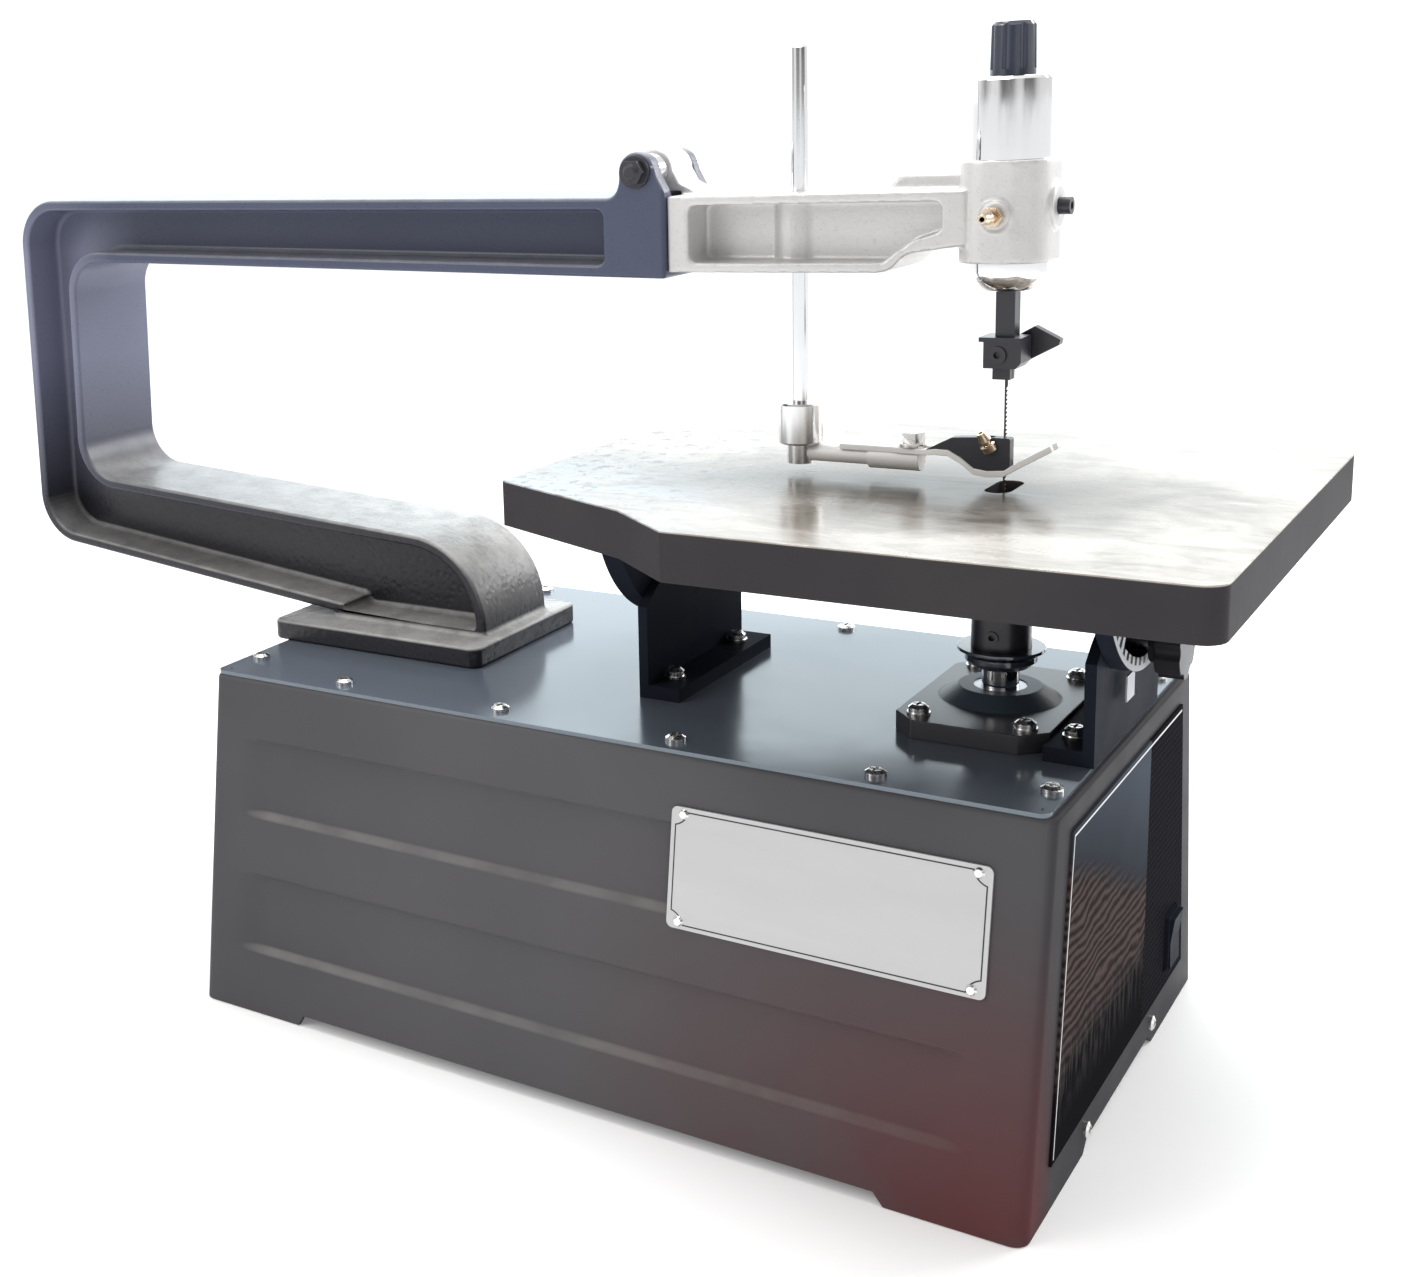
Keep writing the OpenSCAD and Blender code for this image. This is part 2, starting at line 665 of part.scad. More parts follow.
module front_arm() {
    rear_hw = 29;
    front_hw = 18;
    web = 8;
    color([0.8, 0.79, 0.77]) difference() {
        union() {
            intersection() {
                along_y(-40, 40) arm_outline();
                linear_extrude(500) polygon([[arm_x0, -rear_hw], [60, -rear_hw + 2], [blade_x, -front_hw],
                                             [blade_x, front_hw], [60, rear_hw - 2], [arm_x0, rear_hw]]);
            }
            along_y(2, 17) polygon([[108, 428], [114.5, 434.5], [arm_end, 434.5], [arm_end, 428]]);
            translate([blade_x, 0, head_z0]) linear_extrude(head_z1 - head_z0)
                offset(r = 14) square(head_w - 28, center = true);
            translate([0, 0, 420]) rod_x(blade_x + 15, blade_x + 21.8, 10);
            translate([blade_x, 0, 417]) rod_y(-23, -15, 6.6);
            along_y(-13.7, 9.7) {
                translate([hinge[0], hinge[2]]) circle(r = 10.2);
                polygon([[-5, 430.3], [arm_x0, 430.3], [arm_x0, 422], [24, 422], [20, 429], [9, 434], [5.2, 440.5]]);
            }
        }
        for (s = [-1, 1]) difference() {
            along_y(s > 0 ? web : -40, s > 0 ? 40 : -web) offset(r = 4)
                polygon([[25, 400.6], [25, 420], [138, 420], [138, 413.6], [126, 409.8], [113.5, 400.6]]);
            translate([post_x, 0, 0]) rod_z(380, 440, 12);
        }
        translate([post_x, 0, 0]) rod_z(380, 440, post_d/2 + fit);
        translate([blade_x, 0, 0]) rod_z(head_z0 - 1, head_z1 + 1, tube_d/2);
        translate([0, 0, 420]) rod_x(blade_x + 10, blade_x + 23, 3);
        translate([blade_x, 0, 417]) rod_y(-24, -15, 3);
        translate([hinge[0], 0, hinge[2]]) rod_y(-20, 20, 4 + fit);
        translate([post_x, 0, 410]) rod_y(0, 40, 2.5);
    }
}

module plunger_tube() {
    color([0.85, 0.86, 0.88]) translate([blade_x, 0, 0]) difference() {
        union() {
            rod_z(head_z0, tube_top - 1.2, tube_d/2);
            translate([0, 0, tube_top - 1.2 - e]) cylinder(h = 1.2 + e, r1 = tube_d/2, r2 = tube_d/2 - 1.2);
        }
        rod_z(head_z0 - 1, tube_top - 5, 14);
        rod_z(tube_top - 6, tube_top + 1, 5 + fit);
        translate([0, 0, 417]) rod_y(-18, -10, 2.2);
    }
}

module lower_collar() {
    color([0.8, 0.81, 0.83]) translate([blade_x, 0, 0]) difference() {
        union() {
            rod_z(389.5, head_z0, tube_d/2 - 0.2);
            translate([0, 0, 383]) cylinder(h = 6.5 + e, r1 = 9.8, r2 = tube_d/2 - 0.2);
            rod_z(head_z0 - e, 402, 14);
        }
        rod_z(382, 403, 6 + fit);
    }
}

module tube_clamp_bolt() {
    color([0.08, 0.08, 0.09]) translate([0, 0, 420]) difference() {
        union() {
            rod_x(blade_x + tube_d/2 + 0.2, blade_x + 22, 3);
            rod_x(blade_x + 21.8, blade_x + 27, 3.8);
        }
        translate([blade_x + 24.5, 0, 0]) rotate([0, 90, 0]) cylinder(h = 4, r = 2, $fn = 6);
    }
}

module air_nozzle() {
    color([0.75, 0.58, 0.3]) translate([blade_x, 0, 417]) difference() {
        union() {
            rod_y(-23.4, -16.9, 3);
            translate([0, -23, 0]) rotate([90, 0, 0]) hex(8.4, 4);
            rod_y(-33.4, -26.4, 2.2);
            translate([0, -30.4, 0]) rotate([90, 0, 0]) cylinder(h = 3.4, r1 = 3, r2 = 2.1);
            translate([0, -34.9, 0]) rotate([90, 0, 0]) cylinder(h = 3.4, r1 = 3, r2 = 2.1);
            rod_y(-35.4, -29.4, 2.2);
        }
        rod_y(-40, -16, 1.1);
    }
}

// Point i of the tension spring's wire, n to a turn
function coil_point(i, n, turns, r, z0, z1) =
    [r*cos(360*i/n), r*sin(360*i/n), z0 + (z1 - z0)*i/(n*turns)];

module tension_spring() {
    n = 16;
    turns = 5;
    wire = 1.1;
    sides = 8;
    z0 = 426;
    z1 = 448.4;
    rings = n*turns;
    pts = [for (i = [0:rings], k = [0:sides - 1])
        let (c = coil_point(i, n, turns, 11, z0, z1), a = 360*i/n, b = 360*k/sides)
        [c[0] + wire*cos(b)*cos(a), c[1] + wire*cos(b)*sin(a), c[2] + wire*sin(b)]];
    skin = [for (i = [0:rings - 1], k = [0:sides - 1])
        let (a = i*sides + k, b = i*sides + (k + 1) % sides)
        [a, a + sides, b + sides, b]];
    caps = [[for (k = [0:sides - 1]) k], [for (k = [sides - 1:-1:0]) rings*sides + k]];
    color("silver") translate([blade_x, 0, 0]) polyhedron(pts, concat(skin, caps));
}

module tension_knob() {
    color([0.15, 0.15, 0.18]) translate([blade_x, 0, 0]) {
        difference() {
            union() {
                translate([0, 0, tube_top + 0.3]) cylinder(h = 21.5, r1 = 10, r2 = 9.6);
                translate([0, 0, tube_top + 21.7]) cylinder(h = 1.8, r1 = 9.6, r2 = 8.2);
            }
            for (a = [0:45:315]) rotate(a) translate([11.4, 0, tube_top + 3]) cylinder(h = 30, r = 2.4);
        }
        rod_z(453, tube_top + 1, 5);
        rod_z(450, 453.1, 13.5);
    }
}

module upper_plunger() {
    color([0.22, 0.22, 0.25]) translate([blade_x, 0, 0]) {
        block([-4.35, -3.9, 361.9], [4.35, 3.9, 386]);
        rod_z(386 - e, 417, 6);
        rod_z(416.9, 424, 13.6);
    }
}

module upper_clamp() {
    color([0.16, 0.17, 0.18]) translate([blade_x, 0, 0]) difference() {
        union() {
            along_y(-7.5, 7.5) polygon([[-8.5, 347.8], [6, 347.8], [8.5, 350.5], [8.5, 360], [-8.5, 360]]);
            block([-10.5, -8, 359.8], [8.5, 8, 361.9]);
        }
        block([-12, -3.4, 345], [2.8, 3.4, 355]);
        translate([-2, 0, clamp_z]) rod_y(-10, -3, 3);
        translate([-2, 0, clamp_z]) rod_y(3, 10, 2.5);
    }
}

module clamp_jaw() {
    color([0.12, 0.12, 0.13]) translate([blade_x, 0, 0]) for (s = [-1, 1])
        block([-5.5, s > 0 ? 0.35 : -3.35, 342.2], [2.5, s > 0 ? 3.35 : -0.35, 354.8]);
}

module clamp_set_screw() {
    color([0.14, 0.14, 0.15]) translate([blade_x - 2, 0, clamp_z]) difference() {
        union() {
            rod_y(-7.6, -3.4, 3);
            rod_y(-8.6, -7.5, 4);
        }
        translate([0, -8.7, 0]) rotate([-90, 0, 0]) cylinder(h = 2, r = 1.7, $fn = 6);
    }
}

module clamp_lever() {
    color([0.1, 0.1, 0.11]) translate([blade_x, 0, 0]) {
        translate([-2, 0, clamp_z]) rod_y(3.8, 8.4, 2.45);
        translate([-2, 0, clamp_z]) rod_y(8.3, 14, 5.6);
        along_y(8.6, 14) polygon([[-1, 350], [7, 349.8], [20.5, 357.2], [21, 359.6], [9.5, 365.5], [6, 363.5], [-1, 359.5]]);
    }
}

// ---- Hold-down --------------------------------------------------------------------

module holddown_post() {
    color([0.8, 0.81, 0.82]) translate([post_x, 0, 0]) {
        rod_z(299.5, 495, post_d/2);
        translate([0, 0, 495 - e]) cylinder(h = 1, r1 = post_d/2, r2 = post_d/2 - 1);
    }
}

module post_collar() {
    color([0.8, 0.81, 0.82]) translate([post_x, 0, 0]) difference() {
        union() {
            rod_z(307.5, 325.8, 10.7);
            translate([0, 0, 325.8 - e]) cylinder(h = 1, r1 = 10.7, r2 = 9.7);
            translate([0, 0, 306.5]) cylinder(h = 1 + e, r1 = 9.7, r2 = 10.7);
            rod_z(296.8, 306.6, 6.5);
        }
        rod_z(299.5, 330, post_d/2);
        translate([0, 0, 302.2]) rod_x(2, 10, 4.2);
    }
}

module post_lock_screw() {
    color([0.1, 0.1, 0.11]) translate([post_x, 0, 410]) {
        rod_y(4.3, 31, 2.45);
        difference() {
            rod_y(30, 40, 9);
            for (a = [0:40:320]) rotate([0, a, 0]) translate([9.8, 0, 0]) rod_y(29, 41, 1.6);
        }
    }
}

module holddown_rod() {
    color([0.85, 0.86, 0.87]) difference() {
        translate([0, 0, 302.2]) {
            rod_x(post_x + 4, 102, 4.2);
            rod_x(101.9, 127, 5.6);
        }
        block([86, -7, 305.4], [128, 7, 310]);
        translate([122.5, 0, 0]) rod_z(300, 310, 2);
    }
}

module foot_bolt() {
    color("silver") translate([122.5, 0, 0]) {
        rod_z(300, 311, 2);
        rod_z(308.2, 310.2, 7);
        translate([0, 0, 310.2]) hex(10.6, 5.2);
    }
}

module holddown_foot() {
    color([0.75, 0.75, 0.76]) difference() {
        intersection() {
            along_y(-8.6, 8.6)
                polygon(concat(foot_path, [for (i = [len(foot_top) - 1:-1:0]) foot_top[i]]));
            linear_extrude(400) polygon([[87, -5], [114, -5], [118, -6], [128, -6], [136, -8.6], [180, -8.6], [190, -6],
                                         [190, 6], [180, 8.6], [136, 8.6], [128, 6], [118, 6], [114, 5], [87, 5]]);
        }
        block([129, -3, 290], [195, 3, 320]);
        translate([122.5, 0, 0]) rod_z(300, 310, 2);
    }
}

// Black block that carries the air fitting, seated on the near prong
module foot_holder() {
    color([0.1, 0.1, 0.12]) difference() {
        along_y(-7.5, -2) offset(r = 1)
            polygon([[132.5, 306], [132.5, 308], [144, 314], [158, 315], [169.5, 315], [169.5, 300], [157, 298]]);
        translate([161, -4.8, 0]) rod_z(304, 320, 2);
        along_y(-20, 5) polygon(concat(foot_top, [[187, 290], [88, 290]]));
    }
}

module air_fitting() {
    color([0.75, 0.6, 0.35]) translate([161, -4.8, 0]) difference() {
        union() {
            rod_z(304, 317, 2);
            translate([0, 0, 316]) hex(6, 2.2);
            rod_z(318.1, 320, 2.2);
        }
        rod_z(308, 321, 0.9);
    }
}

// ---- Every piece ------------------------------------------------------------------

base_side_near();
base_side_far();
base_end_front();
base_end_rear();
top_plate();
cover_screws();
control_panel();
name_plate();
name_plate_rivets();
c_frame();
c_frame_bolts();
rear_bracket();
front_bracket();
bracket_screws();
bearing_flange();
flange_screws();
lower_bush();
motor_body();
motor_bracket();
motor_bolts();
control_box();
cord_gland();
hinge_pin();
hinge_spacer();
hinge_nut();
tilt_lock_stud();
tilt_lock_knob();
table_top();
rear_trunnion();
front_trunnion();
trunnion_bolts();
front_arm();
plunger_tube();
tube_clamp_bolt();
air_nozzle();
tension_spring();
lower_collar();
tension_knob();
upper_plunger();
upper_clamp();
clamp_set_screw();
clamp_jaw();
clamp_lever();
holddown_post();
post_collar();
post_lock_screw();
holddown_rod();
foot_holder();
holddown_foot();
foot_bolt();
air_fitting();
lower_plunger();
dust_discs();
lower_chuck();
lower_chuck_screw();
blade();
motor_shaft();
crank_disc();
connecting_rod();
power_switch();
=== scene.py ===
"""Looks of the rigid-arm scroll saw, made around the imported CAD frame."""

import json
import math

import bmesh
import bpy
from mathutils import Euler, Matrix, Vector

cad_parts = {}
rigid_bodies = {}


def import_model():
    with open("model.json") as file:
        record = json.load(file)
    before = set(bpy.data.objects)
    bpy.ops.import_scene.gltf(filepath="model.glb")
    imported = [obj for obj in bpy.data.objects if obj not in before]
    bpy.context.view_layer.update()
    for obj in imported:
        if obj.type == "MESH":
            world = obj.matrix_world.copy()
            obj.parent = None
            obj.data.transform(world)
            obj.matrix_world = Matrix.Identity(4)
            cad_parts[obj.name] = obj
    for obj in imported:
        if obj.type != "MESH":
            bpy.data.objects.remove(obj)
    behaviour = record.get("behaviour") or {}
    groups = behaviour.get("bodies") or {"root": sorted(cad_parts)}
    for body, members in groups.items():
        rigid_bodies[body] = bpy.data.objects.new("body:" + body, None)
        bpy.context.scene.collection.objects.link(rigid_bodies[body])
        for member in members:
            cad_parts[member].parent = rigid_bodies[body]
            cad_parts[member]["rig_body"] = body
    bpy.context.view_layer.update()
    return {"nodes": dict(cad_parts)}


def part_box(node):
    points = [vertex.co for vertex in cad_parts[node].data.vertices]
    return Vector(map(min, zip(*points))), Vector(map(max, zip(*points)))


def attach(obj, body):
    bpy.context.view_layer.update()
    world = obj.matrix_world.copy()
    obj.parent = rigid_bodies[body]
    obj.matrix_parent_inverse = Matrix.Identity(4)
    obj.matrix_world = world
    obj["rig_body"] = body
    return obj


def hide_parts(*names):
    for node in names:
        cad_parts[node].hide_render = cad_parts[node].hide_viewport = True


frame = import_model()
NODES = frame["nodes"]
MM = 0.001
BLADE_X = (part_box("blade")[0].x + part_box("blade")[1].x) / 2


# ---- Camera -------------------------------------------------------------------

def make_camera():
    data = bpy.data.cameras.new("camera")
    data.lens = 46.845
    data.sensor_width = 36
    data.shift_x = 0.2218
    data.shift_y = -0.0890
    data.clip_start, data.clip_end = 0.01, 50
    cam = bpy.data.objects.new("camera", data)
    cam.location = (0.42888, -0.83705, 0.47614)
    cam.rotation_euler = Euler([math.radians(a) for a in (77.668, 2.892, 35.542)], "XYZ")
    bpy.context.scene.collection.objects.link(cam)
    bpy.context.scene.camera = cam


make_camera()


# ---- Material helpers ---------------------------------------------------------

class Mat:
    """A small builder for node materials."""

    def __init__(self, name, color, rough, metal=0.0, spec=0.5, coat=0.0, coat_rough=0.1):
        self.m = bpy.data.materials.new(name)
        self.m.use_nodes = True
        self.t = self.m.node_tree
        self.b = self.t.nodes["Principled BSDF"]
        self.set("Base Color", (*color, 1))
        self.set("Roughness", rough)
        self.set("Metallic", metal)
        self.set("Specular IOR Level", spec)
        if coat:
            self.set("Coat Weight", coat)
            self.set("Coat Roughness", coat_rough)
        self.co = self.new("ShaderNodeTexCoord").outputs["Object"]
        self.height = None

    def set(self, key, value):
        self.b.inputs[key].default_value = value

    def new(self, kind, **props):
        n = self.t.nodes.new(kind)
        for k, v in props.items():
            setattr(n, k, v)
        return n

    def link(self, a, b):
        self.t.links.new(a, b)

    def put(self, n, key, value):
        """Sets an input from a number or a socket."""
        if isinstance(value, bpy.types.NodeSocket):
            self.link(value, n.inputs[key])
        else:
            n.inputs[key].default_value = value

    def scaled(self, scale):
        n = self.new("ShaderNodeMapping")
        self.link(self.co, n.inputs["Vector"])
        n.inputs["Scale"].default_value = scale
        return n.outputs[0]

    def noise(self, scale, detail=3.0, rough=0.5, vec=None, distort=0.0):
        n = self.new("ShaderNodeTexNoise")
        self.link(vec if vec is not None else self.co, n.inputs["Vector"])
        n.inputs["Scale"].default_value = scale
        n.inputs["Detail"].default_value = detail
        n.inputs["Roughness"].default_value = rough
        n.inputs["Distortion"].default_value = distort
        return n.outputs["Fac"]

    def ramp(self, value, lo, hi, a=0.0, b=1.0):
        n = self.new("ShaderNodeMapRange")
        self.put(n, "Value", value)
        for key, v in (("From Min", lo), ("From Max", hi), ("To Min", a), ("To Max", b)):
            n.inputs[key].default_value = v
        return n.outputs[0]

    def math(self, op, a, b=0.0, clamp=False):
        n = self.new("ShaderNodeMath", operation=op, use_clamp=clamp)
        self.put(n, 0, a)
        self.put(n, 1, b)
        return n.outputs[0]

    def axis(self, i):
        n = self.new("ShaderNodeSeparateXYZ")
        self.link(self.co, n.inputs[0])
        return n.outputs[i]

    def facing(self):
        """The X, Y and Z of the surface's direction."""
        n = self.new("ShaderNodeSeparateXYZ")
        self.link(self.new("ShaderNodeNewGeometry").outputs["Normal"], n.inputs[0])
        return n.outputs

    def distance(self, a, b):
        """The length of the offset (a, b)."""
        return self.math("POWER", self.math("ADD", self.math("POWER", a, 2.0), self.math("POWER", b, 2.0)), 0.5)

    def mix(self, fac, a, b):
        """Mixes two colours, given as RGB or as sockets."""
        n = self.new("ShaderNodeMix", data_type="RGBA")
        self.put(n, 0, fac)
        for i, v in ((6, a), (7, b)):
            if isinstance(v, bpy.types.NodeSocket):
                self.link(v, n.inputs[i])
            else:
                n.inputs[i].default_value = (*v, 1)
        return n.outputs[2]

    def color(self, socket):
        self.link(socket, self.b.inputs["Base Color"])

    def rough(self, socket):
        self.link(socket, self.b.inputs["Roughness"])

    def bump(self, height, distance, strength=1.0):
        n = self.new("ShaderNodeBump")
        n.inputs["Strength"].default_value = strength
        n.inputs["Distance"].default_value = distance
        self.link(height, n.inputs["Height"])
        if self.height is not None:
            self.link(self.height, n.inputs["Normal"])
        self.height = n.outputs[0]
        self.link(self.height, self.b.inputs["Normal"])


def painted(name, color, rough, peel=0.00002, grain=900, vary=0.15, coat=0.0, spec=0.5, ior=1.5):
    m = Mat(name, color, rough, coat=coat, spec=spec)
    m.set("IOR", ior)
    big = m.noise(9, 3)
    dark = tuple(c * (1 - vary) for c in color)
    light = tuple(c * (1 + vary) for c in color)
    m.color(m.mix(big, dark, light))
    m.rough(m.ramp(m.noise(35, 4), 0.3, 0.7, rough - 0.04, rough + 0.05))
    m.bump(m.noise(grain, 2), peel)
    return m.m


def metal(name, color, rough, spread=0.06, scratch=(1, 1, 1), depth=0.000012, metallic=1.0):
    m = Mat(name, color, rough, metal=metallic)
    streak = m.noise(400, 3, vec=m.scaled(scratch))
    m.rough(m.ramp(streak, 0.3, 0.7, max(0.02, rough - spread), rough + spread))
    dark, light = (tuple(min(1, c * f) for c in color) for f in (0.9, 1.06))
    m.color(m.mix(m.noise(30, 3), dark, light))
    m.bump(streak, depth)
    return m.m


def cast(name, color, rough, metallic, grain, depth, vary=0.1, spec=0.5):
    """Sand-cast metal with its grain and dark specks."""
    m = Mat(name, color, rough, metal=metallic, spec=spec)
    fine = m.noise(grain, 4, 0.6)
    coarse = m.noise(grain / 7, 3)
    dark, light = (tuple(c * f for c in color) for f in (1 - vary, 1 + vary))
    clouds = m.mix(m.noise(14, 4), dark, light)
    specks = m.ramp(m.noise(grain * 0.8, 2), 0.42, 0.30, 0.0, 0.35)
    m.color(m.mix(specks, clouds, tuple(c * 0.72 for c in color)))
    m.rough(m.ramp(fine, 0.3, 0.7, rough - 0.07, rough + 0.08))
    m.bump(fine, depth)
    m.bump(coarse, depth * 2)
    return m.m


def base_material():
    """Charcoal enamel, with painted light: a reddish reflection low down at the operator's end, highlights on the
    ledges that face up, shade on the faces towards the operator's end and a lighter middle.
    """
    m = Mat("charcoal_paint", (0.05, 0.05, 0.05), 0.36)
    m.set("IOR", 1.05)
    # Painted reflection: a reddish tinge low down on the near side at the operator's end.
    red_reflection = m.math("MULTIPLY", m.ramp(m.axis(0), 0.0, 0.2), m.ramp(m.axis(2), 0.15, 0.01))
    uneven = m.math("MULTIPLY", m.ramp(m.noise(7, 3), 0.28, 0.6), m.ramp(m.axis(1), -0.105, -0.130))
    red_reflection = m.math("MULTIPLY", red_reflection, uneven)
    plain = m.mix(m.noise(8, 3), (0.066, 0.065, 0.070), (0.106, 0.103, 0.108))
    facing = m.facing()
    # Painted highlight: faces turned up below the top edge, such as the pressed bands' lower ledges, are lighter in
    # patches.
    ledge_highlight = m.math("MULTIPLY", m.ramp(facing[2], 0.30, 0.72), m.ramp(m.axis(2), 0.168, 0.160))
    ledge_highlight = m.math("MULTIPLY", ledge_highlight, m.ramp(m.noise(40, 4), 0.35, 0.6, 0.5, 1.0))
    plain = m.mix(ledge_highlight, plain, (0.20, 0.195, 0.19))
    # Painted shade: faces turned towards the operator's end are darker.
    plain = m.mix(m.ramp(facing[0], 0.5, 0.9, 0.0, 0.5), plain, (0.018, 0.018, 0.022))
    # Painted light: the sides are lighter in the middle, round x = -30 mm.
    middle_light = m.ramp(m.math("ABSOLUTE", m.math("ADD", m.axis(0), 0.03)), 0.20, 0.04, 0.0, 0.3)
    plain = m.mix(middle_light, plain, (0.15, 0.145, 0.15))
    m.color(m.mix(red_reflection, plain, (0.115, 0.046, 0.048)))
    m.rough(m.ramp(m.noise(30, 4), 0.3, 0.7, 0.31, 0.40))
    m.bump(m.noise(800, 2), 0.00002)
    m.bump(m.noise(26, 2), 0.00025)
    return m.m


def gooseneck(m):
    """Where the frame's casting is rough: its lower limb and foot."""
    low = m.ramp(m.axis(2), 0.285, 0.262)
    return m.math("MULTIPLY", low, m.ramp(m.axis(0), -0.33, -0.14, 0.35, 1.0))


def frame_material():
    """Blue-black paint on sand-cast iron, with painted light: lighter where it faces up and on the column, darker on
    the lower limb.
    """
    m = Mat("frame_iron_paint", (0.05, 0.05, 0.06), 0.3)
    m.set("IOR", 1.4)
    fine = m.noise(800, 4, 0.6)
    facing = m.facing()
    up = m.ramp(facing[2], 0.05, 0.75)
    rough_cast = gooseneck(m)
    low = m.ramp(m.axis(2), 0.335, 0.24)
    plain = m.mix(m.noise(14, 4), (0.056, 0.066, 0.112), (0.078, 0.090, 0.146))
    # Painted light: the column is lighter from x = -0.36 m back and from 0.44 m down.
    column = m.math("MULTIPLY", m.ramp(m.axis(0), -0.36, -0.41), m.ramp(m.axis(2), 0.44, 0.40))
    plain = m.mix(column, plain, (0.20, 0.21, 0.29))
    # Painted shade: the frame turns darker from 335 mm down to 240 mm, over the lower limb.
    plain = m.mix(low, plain, m.mix(m.noise(14, 4), (0.015, 0.015, 0.021), (0.023, 0.022, 0.029)))
    # Painted highlight: faces turned up are lighter in patches, most of all on the rough-cast lower limb and foot.
    upward_highlight = m.math("MULTIPLY", up, m.ramp(m.noise(60, 5, 0.7), 0.30, 0.62, 0.55, 1.0))
    upward_highlight = m.math("MULTIPLY", upward_highlight, m.math("ADD", 0.35, m.math("MULTIPLY", rough_cast, 0.65)))
    m.color(m.mix(upward_highlight, plain, (0.52, 0.515, 0.50)))
    m.rough(m.ramp(fine, 0.3, 0.7, 0.25, 0.38))
    m.bump(fine, 0.00006)
    m.bump(m.noise(110, 3), 0.00012)
    v = m.new("ShaderNodeTexVoronoi")
    m.link(m.co, v.inputs["Vector"])
    v.inputs["Scale"].default_value = 230
    lumps = m.math("ADD", m.ramp(v.outputs["Distance"], 0.0, 0.5), m.math("MULTIPLY", m.noise(300, 4), 0.9))
    m.bump(m.math("MULTIPLY", lumps, rough_cast), 0.00022)
    return m.m


def make_materials():
    k = {}
    k["base_paint"] = base_material()
    k["top_paint"] = painted("grey_plate_paint", (0.112, 0.130, 0.162), 0.17, peel=0.000006, grain=500,
                             vary=0.06, spec=1.0)
    shader = k["top_paint"].node_tree.nodes["Principled BSDF"]
    shader.inputs["Specular Tint"].default_value = (0.84, 0.96, 1.0, 1)
    k["zinc"] = metal("zinc_screws", (0.86, 0.84, 0.82), 0.24)
    k["steel"] = metal("plain_steel", (0.45, 0.45, 0.46), 0.3)
    k["frame"] = frame_material()
    k["bracket"] = painted("black_paint", (0.017, 0.020, 0.029), 0.30, peel=0.00003, grain=600, ior=1.03)
    k["flange"] = flange_material()
    k["knob"] = painted("black_knob", (0.040, 0.047, 0.070), 0.14, peel=0.00001, coat=0.6)
    k["black_oxide"] = painted("black_oxide", (0.028, 0.028, 0.037), 0.32, grain=1500)
    k["plastic"] = painted("black_plastic", (0.020, 0.019, 0.023), 0.28, ior=1.2)
    k["tube"] = metal("chrome_tube", (0.78, 0.78, 0.79), 0.06, spread=0.02, scratch=(1, 1, 0.1), depth=0.000003)
    k["post"] = metal("chrome_post", (0.82, 0.82, 0.83), 0.10, spread=0.02, scratch=(1, 1, 0.1), depth=0.000003)
    k["collar"] = metal("ground_collar", (0.84, 0.84, 0.84), 0.20, spread=0.04, scratch=(1, 1, 0.1), depth=0.000004)
    k["chrome"] = metal("bright_chrome", (0.88, 0.88, 0.90), 0.06, spread=0.02, scratch=(1, 1, 0.1), depth=0.000003)
    k["polished"] = metal("ground_steel", (0.80, 0.81, 0.82), 0.14, spread=0.05, scratch=(1, 1, 0.15), depth=0.000006)
    k["foot"] = metal("foot_steel", (0.90, 0.89, 0.87), 0.34, spread=0.05, depth=0.000002, metallic=0.1)
    k["brass"] = metal("brass", (0.80, 0.66, 0.50), 0.24)
    k["arm"] = cast("arm_cast_aluminium", (0.655, 0.645, 0.638), 0.38, 0.35, 900, 0.00013, vary=0.06)
    k["motor"] = painted("motor_paint", (0.10, 0.11, 0.13), 0.45)
    k["blade"] = metal("blade_steel", (0.10, 0.085, 0.075), 0.45)
    k["mark"] = painted("pointer_plate", (0.42, 0.43, 0.47), 0.4)
    k["table"] = table_material()
    k["name_plate"] = plate_material()
    k["panel"] = panel_material()
    k["dial"] = dial_material()
    return k


